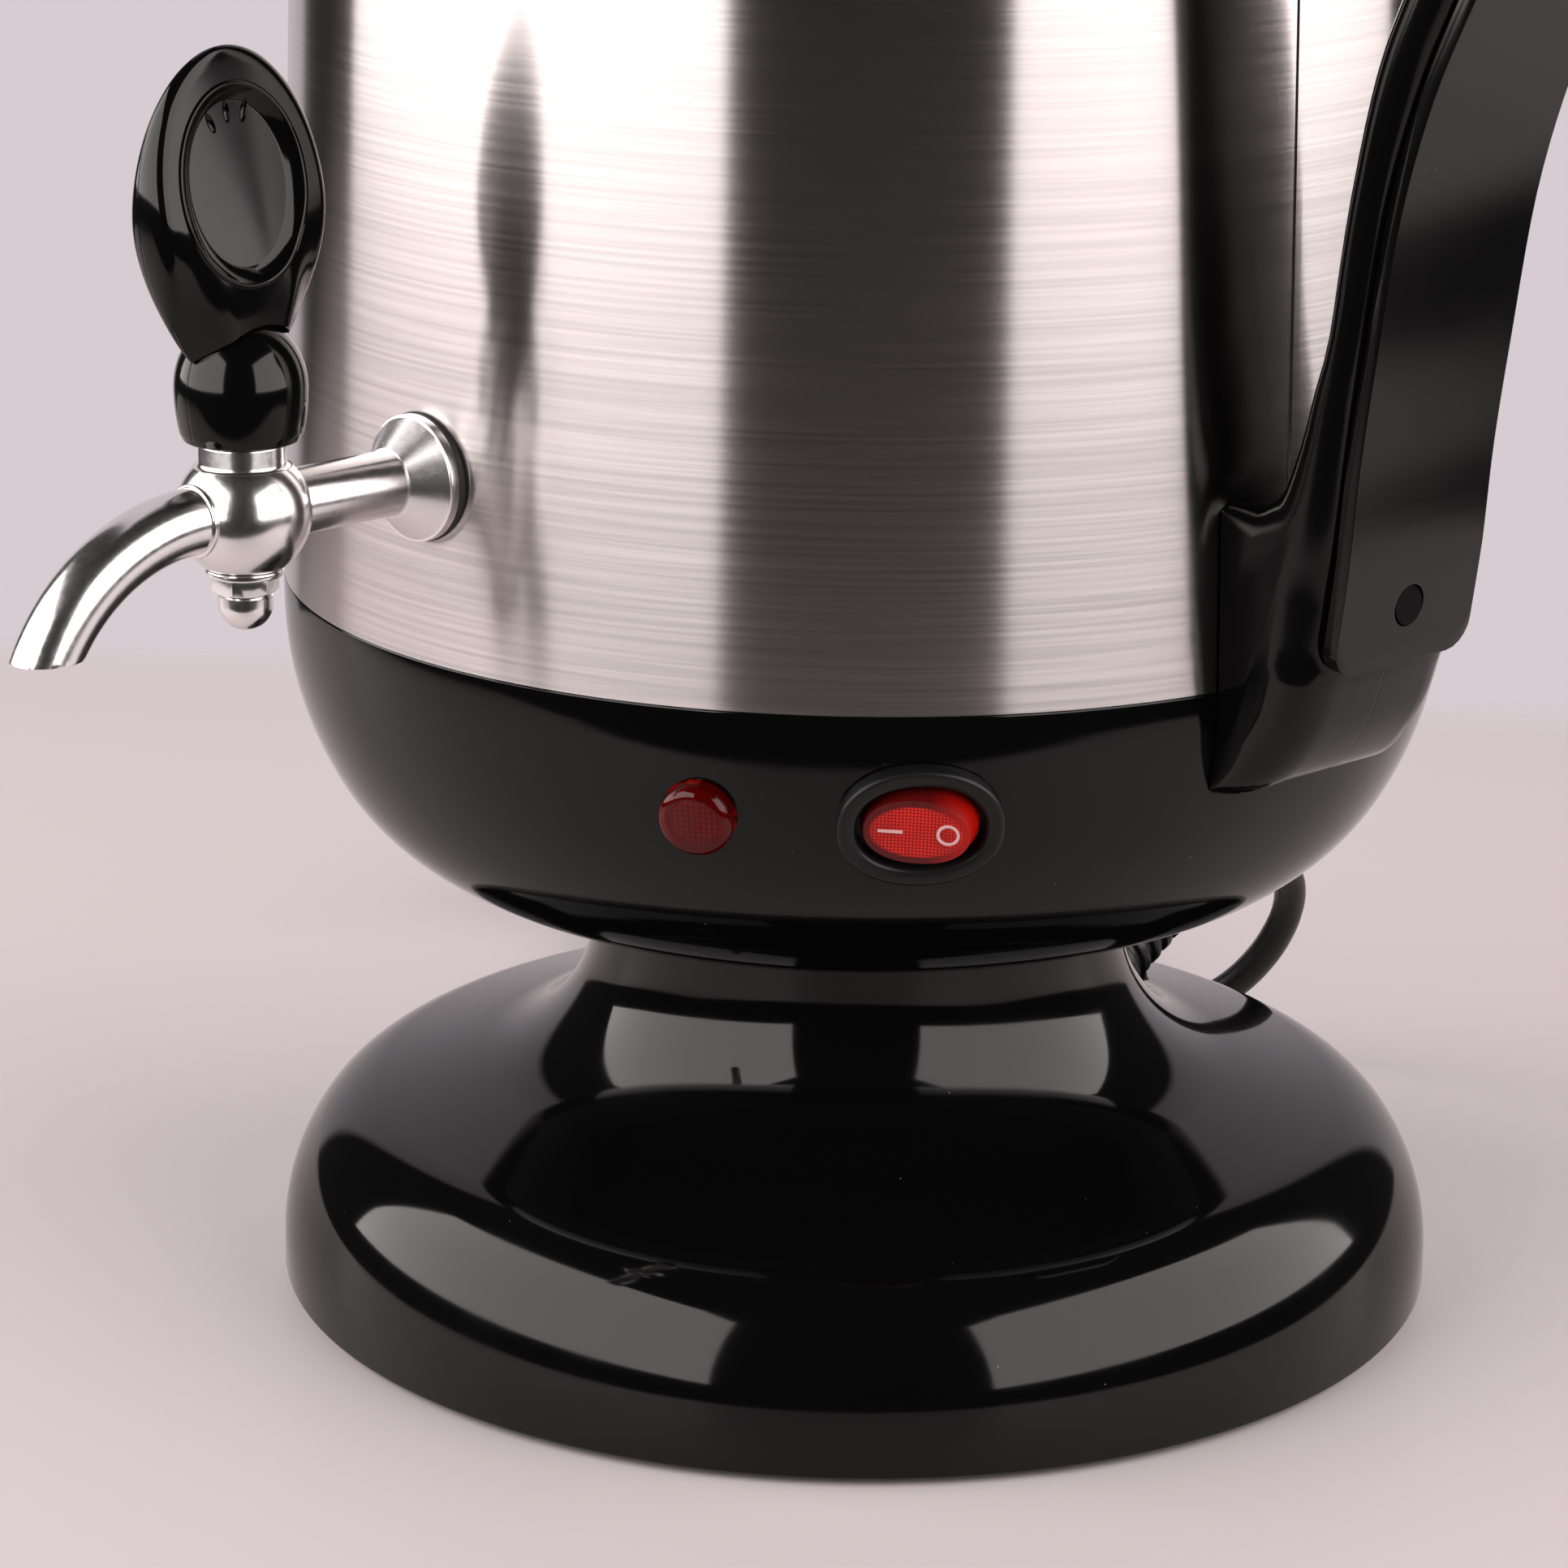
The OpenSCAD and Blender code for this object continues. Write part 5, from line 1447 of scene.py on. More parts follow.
@dataclass
class Switch:
    """The rocker switch: an oval bezel with a well, and an oval red rocker with its two marks."""

    angle: float = 50.5
    bezel: Point = (29.0, 22.6)
    bezel_t: float = 2.2
    seat: float = 0.9
    opening: Point = (22.2, 15.4)
    well_depth: float = 13.0
    box: Point = (24.0, 17.6)
    box_depth: float = 17.0
    box_power: float = 3.0
    rim_up: tuple[Point, ...] = ((0.15, 0.35), (0.35, 0.25), (0.5, 0.1))
    rim_dip: float = -0.25
    rim_down: tuple[Point, ...] = ((0.3, -0.2), (0.45, -0.9))
    power: float = 2.15
    rocker: Point = (21.0, 14.4)
    pivot_z: float = -2.0
    tilt: float = 10.0
    face: Point = (18.2, 12.0)
    crown: float = 5.4
    dip: float = 0.5
    under: float = 5.0
    levels: tuple[tuple[float, float, float], ...] = (
        (4.4, 1.4, -5.0), (0.6, 0.2, -2.0), (0.0, 0.0, -1.2), (0.0, 0.0, 0.2), (0.3, 0.3, 1.2))
    face_over: float = 0.1
    face_steps: int = 24
    edge_r: float = 0.4
    mark_proud: float = 0.04
    mark_depth: float = 0.6
    bar_x: Point = (-6.7, -2.4)
    bar_half_h: float = 0.27
    bar_edge: float = 0.1
    ring_x: float = 5.4
    ring_r: float = 2.0
    ring_w: float = 0.52
    ring_edge: float = 0.08

    def build(self, place: Matrix) -> None:
        """Model the bezel, the rocker and its marks.

        Args:
            place: Place of the switch on the wall.
        """
        hand_over(self.housing(place), BEZEL_BLACK, Body.FRAME, "switch_housing")
        tilted = place @ shift(0, 0, self.pivot_z) @ turn(-self.tilt, "Y")
        # The rocker's rim around its grid is painted shade with a painted glow on its right side, and its
        # grooves get painted shade.
        red = RedGrid("red_rocker", (0.66, 0.014, 0.008, 1), 0.16, place=rows(tilted))
        hand_over(self.red_rocker(tilted), red, Body.ROCKER, "switch_rocker")
        top = self.face_z(self.bar_x[0]) + self.mark_proud
        corners = rectangle(self.bar_x[0], -self.bar_half_h, self.bar_x[1], self.bar_half_h)
        bar = slab("rocker_bar", rounded(corners, self.bar_edge), top - self.mark_depth, top, tilted)
        hand_over(bar, MARK_WHITE, Body.ROCKER)
        top = self.face_z(self.ring_x + self.ring_r) + self.mark_proud
        mark = ring("rocker_ring", (self.ring_r - self.ring_w, self.ring_r), (top - self.mark_depth, top),
                    tilted @ shift(self.ring_x, 0, 0), self.ring_edge, HOLE_STEPS)
        hand_over(mark, MARK_WHITE, Body.ROCKER)

    def hollow_r(self) -> float:
        """Radius of the hollow along the rocker's face."""
        half = self.face[0] / 2
        return (half ** 2 + self.dip ** 2) / (2 * self.dip)

    def face_z(self, x: float) -> float:
        """Height of the rocker's face over its pivot, so far along it."""
        r = self.hollow_r()
        return self.crown - self.dip + r - math.sqrt(r * r - x * x)

    def housing(self, place: Matrix) -> bpy.types.Object:
        """The bezel, raised by insets to its opening, with the well and the box behind it."""
        clear_selection()
        draw([(place @ Vector((x, y, -self.seat))) * MM for x, y in oval(*self.bezel, self.power)])
        out = place.col[2].to_3d() * MM
        bpy.ops.mesh.select_all(action="SELECT")
        bpy.ops.mesh.edge_face_add()
        side = self.seat + self.bezel_t - sum(height for _, height in self.rim_up)
        bpy.ops.mesh.extrude_region_move(TRANSFORM_OT_translate={"value": out * side})
        rim = (self.bezel[0] - self.opening[0]) / 2
        flat = rim - sum(width for width, _ in (*self.rim_up, *self.rim_down))
        for width, height in (*self.rim_up, (flat, self.rim_dip), *self.rim_down):
            bpy.ops.mesh.inset(thickness=width * MM, depth=height * MM)
        bpy.ops.mesh.extrude_region_move(TRANSFORM_OT_translate={"value": -out * self.well_depth})
        housing = settle("switch_bezel")
        box = slab("switch_box", oval(*self.box, self.box_power), -self.box_depth, -self.seat, place)
        return joined(housing, box)

    def red_rocker(self, place: Matrix) -> bpy.types.Object:
        """The oval rocker, smaller towards its face and its underside, with a hollow face."""
        wide, high = self.rocker
        sizes = [(wide - w, high - h, z) for w, h, z in self.levels]
        loops = [[place @ Vector((x, y, z)) for x, y in oval(w, h, self.power)]
                 for w, h, z in (*sizes, (*self.face, self.crown + self.face_over))]
        block = lofted("red_rocker_block", loops)
        reach = wide / 2 + 1
        xs = [reach - 2 * reach * i / self.face_steps for i in range(self.face_steps + 1)]
        low = -self.under - 1
        outline = [(-reach, low), (reach, low), *[(x, self.face_z(x)) for x in xs]]
        side = slab("rocker_tool", outline, -high, high, place @ turn(90, "X"))
        cut(block, side, Cut.KEEP)
        soften(block, self.edge_r, 4, 40)
        return block


@dataclass
class Handles:
    """The two ear handles with their screwed covers. Lines start at the shell's lower and upper edges."""

    lower_r: float = BODY_R
    upper_r: float = SHELL_TOP_R
    half_w: float = 21.0
    round_r: float = 9.0
    least_r: float = 0.5
    inside_wall: float = 6.0
    top_h: float = 13.0
    foot_h: float = 33.0
    cover_half_w: float = 18.0
    cover_t: float = 3.0
    cover_gap: float = 0.2
    cover_corner_r: float = 5.5
    screw_up: float = 16.6
    head_hole_r: float = 3.8
    recess_x: float = 13.0
    body_gap: float = 0.35
    collar_r: float = 108.7
    collar_skirt: float = 14.3
    collar_h: float = 40.0
    tool_reach: float = 60.0
    grip_edge: float = 0.7
    cover_edge: float = 0.9
    across_share: float = 0.47
    hidden_share: float = 0.45
    steps: int = 5
    shortened: int = 6
    grip_angles: tuple[float, ...] = (0, 18, 36, 50, 62, 72, 81, 90)
    corner_angles: tuple[float, ...] = (20, 38, 54, 68, 80, 90)
    cover_low: tuple[Point, ...] = (
        (21, 6), (23.5, 25), (25, 43), (27.5, 62), (31.3, 87), (37, 107), (44, 123), (52, 139))
    cover_high: tuple[Point, ...] = ((62.5, -46), (62.5, -28), (54, -12), (40, -3), (24, 0))
    inside_low: tuple[Point, ...] = (
        (4, 33.4), (8, 37.4), (12, 46), (15, 56), (18, 66), (21, 88), (25, 110), (30, 124), (36.5, 140))
    inside_high: tuple[Point, ...] = ((47.5, -46), (46.5, -31), (39, -20.5), (25, -14.5), (9, -13))
    foot_bottom: tuple[Point, ...] = ((-6, -19), (1.5, -18.4), (8.5, -14.2), (14.4, -6), (17.8, 4))

    def low(self, points: Sequence[Point]) -> list[Vector]:
        """Points measured from the shell's lower edge."""
        return [Vector((self.lower_r + x, PLACES.seam_z + z)) for x, z in points]

    def high(self, points: Sequence[Point]) -> list[Vector]:
        """Points measured from the shell's upper edge."""
        return [Vector((self.upper_r + x, PLACES.shell_top_z + z)) for x, z in points]

    def cover_line(self) -> list[Vector]:
        """The outer face of the cover, from its lower end up."""
        return smooth([*self.low(self.cover_low), *self.high(self.cover_high)], self.steps)

    def build(self, boiler: Boiler, bowl: Bowl) -> None:
        """Model the right handle and cover and copy them to the left.

        Args:
            boiler: The shell that the handles hug.
            bowl: The bowl that their feet hug.
        """
        grip = self.grip()
        wall = boiler.wall(self.body_gap, PLACES.seam_z, PLACES.shell_top_z)[::-1]
        side = [(x + self.body_gap, z) for x, z in bowl.line(0)]
        tool = [(0, PLACES.shell_top_z), *wall, *side, (0, PLACES.neck_z - self.body_gap)]
        cut(grip, turned("hug_tool", tool, steps=BODY_STEPS))
        skirt_z = PLACES.shell_top_z - self.collar_skirt
        cut(grip, rod("collar_tool", self.collar_r, skirt_z, skirt_z + self.collar_h, steps=BODY_STEPS))
        soften(grip, self.grip_edge, 3, 50)
        cut(grip, self.screw_tool("recess_tool", self.recess_x))
        other = mirrored(grip, "left_handle_grip")
        hand_over(grip, HANDLE_BLACK, Body.FRAME, "handle_right")
        hand_over(other, HANDLE_BLACK, Body.FRAME, "handle_left")
        cover = self.cover()
        other = mirrored(cover, "left_handle_plate")
        hand_over(cover, PLATE_BLACK, Body.FRAME, "handle_right_cover")
        hand_over(other, PLATE_BLACK, Body.FRAME, "handle_left_cover")

    def screw_tool(self, name: str, out: float) -> bpy.types.Object:
        """The tool of the screw's hole, starting so far outside the shell's lower edge."""
        place = shift(self.lower_r + out, 0, PLACES.seam_z + self.screw_up) @ turn(90, "Y")
        return rod(name, self.head_hole_r, 0, self.tool_reach, place)

    def grip(self) -> bpy.types.Object:
        """The handle itself: side views at several depths, smaller towards its rounded sides."""
        inner = smooth([*self.low(self.inside_low), *self.high(self.inside_high)], self.steps)
        outer = beside(self.cover_line(), -self.cover_t - self.cover_gap)
        foot = smooth(self.low(self.foot_bottom), self.steps)
        ends = [*self.high([(-self.inside_wall, 0), (-self.inside_wall, -self.top_h)]), *inner[::-1],
                *self.low([(-self.inside_wall, self.foot_h)])]
        outline = [*foot, *outer, *ends]
        across = {id(p): min((p - q).length for q in inner) for p in outer}
        across.update({id(p): min((p - q).length for q in outer) for p in inner})
        hidden = [foot[0], ends[0], ends[1], ends[-1]]
        radii = [min(self.round_r, self.across_share * across.get(id(p), 2 * self.round_r),
                     self.least_r + self.hidden_share * min((p - q).length for q in hidden)) for p in outline]
        loops = []
        straight = self.half_w - self.round_r
        depths = [straight + self.round_r * math.sin(math.radians(a)) for a in self.grip_angles]
        for y in [-d for d in depths[::-1]] + depths:
            draw_in = []
            for r in radii:
                past = min(max((abs(y) - self.half_w + r) / r, 0.0), 1.0)
                draw_in.append(-r * (1 - math.sqrt(1 - past * past)))
            wrapped = [outline[-1], *outline, outline[0]]
            moved = beside(wrapped, [draw_in[-1], *draw_in, draw_in[0]])[1:-1]
            loops.append([Vector((p.x, y, p.y)) for p in moved])
        return lofted("right_handle_grip", loops)

    def cover(self) -> bpy.types.Object:
        """The cover plate: its line at several depths, shorter at its rounded lower corners."""
        line = self.cover_line()
        r = self.cover_corner_r
        loops = []
        straight = self.cover_half_w - r
        depths = [0.0, straight, *[straight + r * math.sin(math.radians(a)) for a in self.corner_angles]]
        for y in [-d for d in depths[:0:-1]] + depths:
            past = max((abs(y) - self.cover_half_w + r) / r, 0.0)
            lift = r * (1 - math.sqrt(max(1 - past * past, 0.0)))
            start = line[0] + (line[1] - line[0]).normalized() * lift
            share = 1 - lift / (line[self.shortened] - line[0]).length
            kept = [start + (p - line[0]) * share if i < self.shortened else p for i, p in enumerate(line)]
            back = beside(kept, -self.cover_t)
            loops.append([Vector((p.x, y, p.y)) for p in (*kept, *back[::-1])])
        plate = lofted("right_handle_plate", loops)
        soften(plate, self.cover_edge, 3, 50)
        cut(plate, self.screw_tool("head_tool", 0))
        return plate


@dataclass
class Top:
    """The collar, the lid and the knob."""

    upper_r: float = SHELL_TOP_R
    over: float = 4.0
    skirt: float = 14.0
    up: float = 9.0
    chamfer: Point = (1.5, 3.0)
    inside: float = 3.0
    ledge_up: float = 5.0
    ledge_in: float = 10.0
    ledge_t: float = 3.0
    lid_in: float = 5.0
    slot_out: float = 0.6
    sheet: float = 0.8
    lid_gap: float = 0.3
    lid_flat: float = 9.0
    lid_rise: float = 24.0
    lid_t: float = 1.2
    vent_r: float = 2.0
    knob_h: float = 30.0
    knob_r: float = 17.0
    knob_foot_r: float = 9.0
    edge: float = 0.9

    def build(self) -> None:
        """Turn the collar, the lid and the knob."""
        slot_in = -self.sheet - self.lid_gap
        slot_low = self.ledge_t - self.skirt
        ledge_low = self.ledge_up - self.ledge_t
        corners = [(self.slot_out, -self.skirt), (self.over, -self.skirt),
                   (self.over, self.up - self.chamfer[1]), (self.over - self.chamfer[0], self.up),
                   (-self.lid_in, self.up), (-self.lid_in, self.ledge_up), (-self.ledge_in, self.ledge_up),
                   (-self.ledge_in, ledge_low), (-self.inside, ledge_low), (-self.inside, slot_low),
                   (slot_in, slot_low), (slot_in, 0), (self.slot_out, 0)]
        outline = [(self.upper_r + x, PLACES.shell_top_z + z) for x, z in rounded(corners, self.edge)]
        collar = turned("black_collar", outline, closed=True, steps=BODY_STEPS)
        hand_over(collar, GLOSS_BLACK, Body.FRAME, "top_collar")
        hand_over(self.lid(), SHELL_STEEL, Body.LID, "lid")
        hand_over(self.knob(), GLOSS_BLACK, Body.LID, "lid_knob")

    def lid(self) -> bpy.types.Object:
        """The domed lid with its flat rim and vent."""
        r = self.upper_r - self.lid_in - self.lid_gap
        dome_half = r - self.lid_flat
        ball_r = (dome_half ** 2 + self.lid_rise ** 2) / (2 * self.lid_rise)
        lean = math.degrees(math.asin(dome_half / ball_r))
        z = PLACES.lid_z
        outer = arc((0, z + self.lid_t + self.lid_rise - ball_r), ball_r, 90 - lean, 90, 40)
        inner = arc((0, z + self.lid_rise - ball_r), ball_r, 90, 90 - lean, 40)
        rim = arc((r - self.lid_t / 2, z + self.lid_t / 2), self.lid_t / 2, -90, 90, 8)
        lid = turned("steel_lid", [*inner, *rim, *outer], steps=BODY_STEPS)
        cut(lid, rod("vent_tool", self.vent_r, -1, 2 * self.lid_rise, shift(0, r / 2, z)))
        return lid

    def knob(self) -> bpy.types.Object:
        """The knob: a waisted foot under a rounded cap."""
        h, r, foot = self.knob_h, self.knob_r, self.knob_foot_r
        side = smooth([(foot, 1.2), (foot - 0.8, h * 0.18), (foot - 1.5, h * 0.34), (foot - 0.5, h * 0.45),
                       (r - 2, h * 0.62), (r, h * 0.74), (r - 1.6, h * 0.86), (r - 5.5, h * 0.955),
                       (r / 2 - 1, h * 0.99), (0, h)], 6)
        z = PLACES.knob_z
        outline = [(0, z), (foot - 0.6, z), (foot, z + 0.6), *[(p.x, z + p.y) for p in side]]
        return turned("black_knob", outline, steps=TAP_STEPS)


@dataclass
class Lead:
    """The mains lead: relief, free run, coil, tie and plug. The free run repeats its solid's points."""

    pedestal: Pedestal
    diameter: float = 6.8
    length_m: float = 1.135
    relief_y: float = 72.0
    relief_lift: float = 25.0
    relief_len: float = 30.0
    relief_root_r: float = 7.25
    relief_tip_r: float = 4.8
    relief_ribs: int = 6
    relief_sunk: float = 8.0
    relief_collar: Point = (0.6, 2.2)
    relief_edge: float = 0.25
    ribs_from: float = 3.2
    ribs_end: float = 6.0
    rib_depth: float = 0.9
    rib_shares: tuple[float, float, float] = (0.3, 0.42, 0.88)
    tip_chamfer: Point = (0.6, 0.8)
    coil_c: Point = (-118.0, 118.0)
    coil_r: float = 44.0
    coil_step: float = 7.4
    coil_z: float = 4.3
    coil_in: float = -35.0
    coil_out: float = 225.0
    coil_sweep: float = 1540.0
    rings_per_turn: int = 60
    free_steps: int = 6
    round_steps: int = 5
    tie_angle: float = 95.0
    tie_w: float = 12.0
    tie_t: float = 0.6
    tie_gap: float = 0.2
    tie_corner_r: float = 3.2
    tie_edge: float = 0.2
    plug_r: float = 19.5
    plug_h: float = 26.0
    plug_relief_len: float = 22.0
    plug_relief_in: float = 6.0
    plug_relief_grow: float = 2.0
    plug_chamfer: Point = (2.2, 3.5)
    plug_step: Point = (1.1, 1.0)
    plug_step_h: float = 6.0
    plug_corner_r: float = 1.3
    plug_corner_steps: int = 5
    plug_edge: float = 0.5
    groove_r: float = 3.4
    groove_out: float = 1.4
    tail_chamfer: Point = (0.4, 0.5)
    tail_ribs: int = 5
    tail_ribs_from: float = 3.0
    tail_pitch: float = 3.4
    tail_rib: tuple[Point, ...] = ((0.0, 0.0), (-0.7, 0.3), (-0.7, 1.2), (0.1, 1.5))
    hang: tuple[tuple[float, float, float], ...] = (
        (0, 105.4, 57.5), (0, 112, 58.1), (-0.5, 119, 57.1), (-1.5, 126, 54.2), (-3, 132, 49.6),
        (-5, 136.4, 44), (-8, 139.3, 37.6), (-12, 140.9, 30.8), (-17, 141.7, 24), (-23, 141.6, 17.4),
        (-30, 140.4, 11.6), (-38, 137.8, 7.4), (-46.5, 133.6, 5))
    lie: tuple[Point, ...] = ((-55, 127.8), (-63.4, 120.3), (-71.6, 110.6))

    def relief_place(self) -> Matrix:
        """The place where the relief leaves the pedestal, with Z along the lead."""
        z = self.pedestal.slope_z(self.relief_y)
        return shift(0, self.relief_y, z) @ turn(self.relief_lift - 90, "X")

    def coil_at(self, swept: float) -> Vector:
        """A point of the coil, which winds in on the table and out again on top."""
        a = math.radians(self.coil_in - swept)
        r = self.coil_r - self.coil_step * min(swept, self.coil_sweep - swept) / 360
        u = min(max((swept - self.coil_sweep / 2) / 180 + 0.5, 0.0), 1.0)
        return Vector((self.coil_c[0] + r * math.cos(a), self.coil_c[1] + r * math.sin(a),
                       self.coil_z + self.coil_step * u * u * (3 - 2 * u)))

    def coil_way(self, angle: float) -> Vector:
        """The lead's direction at an angle of the coil."""
        a = math.radians(angle)
        return Vector((math.sin(a), -math.cos(a), 0))

    def path(self) -> list[Vector]:
        """The lead's middle line from the relief to the plug."""
        tip = self.relief_place() @ Vector((0, 0, self.relief_len))
        coil_start = self.coil_at(0) - self.diameter * self.coil_way(self.coil_in)
        lie = [(x, y, self.coil_z) for x, y in self.lie]
        free = smooth([tip, *self.hang, *lie, coil_start, self.coil_at(0)], self.free_steps)
        count = round(self.coil_sweep / 360 * self.rings_per_turn)
        coil = [self.coil_at(self.coil_sweep * i / count) for i in range(1, count + 1)]
        return [*free, *coil, coil[-1] + self.diameter * self.coil_way(self.coil_out)]

    def build(self) -> None:
        """Lay the lead and model the pieces on it."""
        path = self.path()
        curve = bpy.data.curves.new("mains_lead", "CURVE")
        curve.dimensions = "3D"
        curve.bevel_depth = self.diameter / 2 * MM
        curve.bevel_resolution = self.round_steps
        curve.use_fill_caps = True
        spline = curve.splines.new("POLY")
        spline.points.add(len(path) - 1)
        for point, spot in zip(spline.points, path):
            point.co = (*(spot * MM), 1.0)
        lead = bpy.data.objects.new("mains_lead", curve)
        bpy.context.scene.collection.objects.link(lead)
        hand_over(lead, LEAD_BLACK, Body.FRAME, "cord", "cord_coil")
        pieces = [hand_over(self.tie(), TIE_BLACK, Body.FRAME, "cord_tie"),
                  hand_over(self.plug(path[-1]), LEAD_BLACK, Body.FRAME, "mains_plug"),
                  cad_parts["mains_plug_pins"]]
        hand_over(self.relief(), LEAD_BLACK, Body.FRAME, "cord_relief")

    def relief(self) -> bpy.types.Object:
        """The ribbed taper where the lead leaves the pedestal."""
        place = self.relief_place()
        pitch = (self.relief_len - self.ribs_end) / self.relief_ribs
        collar_r = self.relief_root_r + self.relief_collar[0]
        outline = [(0, -self.relief_sunk), (collar_r, -self.relief_sunk), (collar_r, self.relief_collar[1])]
        first, second, third = self.rib_shares
        for i in range(self.relief_ribs):
            z = self.ribs_from + pitch * i
            r = self.relief_root_r + (self.relief_tip_r - self.relief_root_r) * z / self.relief_len
            groove_r = r - self.rib_depth
            outline += [(groove_r, z), (groove_r, z + first * pitch), (r, z + second * pitch),
                        (r, z + third * pitch)]
        outline += [(self.relief_tip_r, self.relief_len - self.tip_chamfer[1]),
                    (self.relief_tip_r - self.tip_chamfer[0], self.relief_len), (0, self.relief_len)]
        relief = turned("lead_relief", outline, place, steps=SMALL_STEPS)
        soften(relief, self.relief_edge, 2, 35)
        return relief

    def tie(self) -> bpy.types.Object:
        """The strap round the coil's turns."""
        inner_r = self.coil_r - self.coil_step * self.coil_sweep / 720
        around = self.diameter + 2 * self.tie_gap
        half = ((self.coil_r - inner_r + around) / 2, (self.coil_step + around) / 2)
        middle = shift(*self.coil_c, self.coil_z + self.coil_step / 2) @ turn(self.tie_angle, "Z")
        place = middle @ shift((self.coil_r + inner_r) / 2, 0, 0) @ turn(90, "X")
        sizes = [(half[0] + t, half[1] + t) for t in (self.tie_t, 0)]
        outlines = [rounded(rectangle(-x, -y, x, y), self.tie_corner_r, 8) for x, y in sizes]
        strap = slab("lead_tie", outlines[0], -self.tie_w / 2, self.tie_w / 2, place)
        cut(strap, slab("tie_tool", outlines[1], -self.tie_w, self.tie_w, place))
        soften(strap, self.tie_edge, 2, 50)
        return strap

    def plug(self, end: Vector) -> bpy.types.Object:
        """The moulded plug with its stepped face, finger grooves and tapered tail.

        Args:
            end: Where the lead ends.

        Returns:
            The plug.
        """
        heading = self.coil_out - 90
        out = shift(end.x, end.y, 0) @ turn(heading, "Z")
        middle = out @ shift(self.plug_relief_len + self.plug_r - self.plug_relief_grow, 0, 0)
        r, h = self.plug_r, self.plug_h
        step_r, step_z = r - self.plug_step[0], h - self.plug_step_h
        corners = [(0, 0), (r - self.plug_chamfer[0], 0), (r, self.plug_chamfer[1]),
                   (r, step_z - self.plug_step[1]), (step_r, step_z), (step_r, h), (0, h)]
        at_axis = self.plug_corner_steps + 1
        side = rounded(corners, self.plug_corner_r, self.plug_corner_steps)[at_axis:-at_axis]
        body = turned("moulded_plug", [(0, 0), *side, (0, h)], middle)
        for sign in (-1, 1):
            groove = middle @ shift(0, sign * (r + self.groove_out), 0)
            cut(body, rod("groove_tool", self.groove_r, -1, h + 1, groove, 32))
        soften(body, self.plug_edge, 3, 50)
        tail_place = Matrix.Translation(end) @ turn(heading, "Z") @ turn(90, "Y")
        length = self.plug_relief_len + self.plug_relief_in
        outline = [(0, 0), (self.relief_tip_r - self.tail_chamfer[0], 0),
                   (self.relief_tip_r, self.tail_chamfer[1])]
        for i in range(self.tail_ribs):
            z = self.tail_ribs_from + i * self.tail_pitch
            wide = self.relief_tip_r + self.plug_relief_grow * z / length
            outline += [(wide + out_by, z + up_by) for out_by, up_by in self.tail_rib]
        outline += [(self.relief_tip_r + self.plug_relief_grow, length), (0, length)]
        tail = turned("plug_tail", outline, tail_place, steps=SMALL_STEPS)
        return joined(body, tail)


@dataclass
class Inside:
    """The solids that keep their own shape, each with its finish."""

    finishes: dict[str, Finish] = field(default_factory=lambda: {
        "boiler_floor": PLAIN_STEEL, "heater_plate": CAST_ALUMINIUM, "heater_tube": HEATER_STEEL,
        "thermostat": DARK_CERAMIC, "thermal_cutout": WHITE_CERAMIC, "terminal_block": WHITE_CERAMIC,
        "base_cover": SATIN_BLACK, **{f"foot_{i}": FOOT_RUBBER for i in range(1, 5)},
        "base_screws": SCREW_STEEL, "cover_screws": SCREW_STEEL, "tap_plug": BRASS, "lamp_body": SATIN_BLACK,
        "switch_nut_plate": SATIN_BLACK, "handle_brackets": PLAIN_STEEL, "handle_screws": OXIDE_AND_HOLE_SHADE_STEEL,
        "handle_top_screws": SCREW_STEEL,
        "lid_seal": WHITE_SILICONE, "lid_knob_screw": SCREW_STEEL, "mains_plug_pins": PIN_NICKEL,
    })

    def build(self) -> None:
        """Dress each solid."""
        for name, finish in self.finishes.items():
            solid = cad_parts[name]
            solid.data.materials.clear()
            solid.data.materials.append(finish.material())
            LOG.info("%s keeps its solid, as %s", name, finish.slot)


@dataclass(frozen=True)
class Panelight:
    """An upright soft panel: middle and half width in degrees to the right of the camera, and heights."""

    azimuth: float
    half_azimuth: float
    low_m: float
    high_m: float
    radiance: float


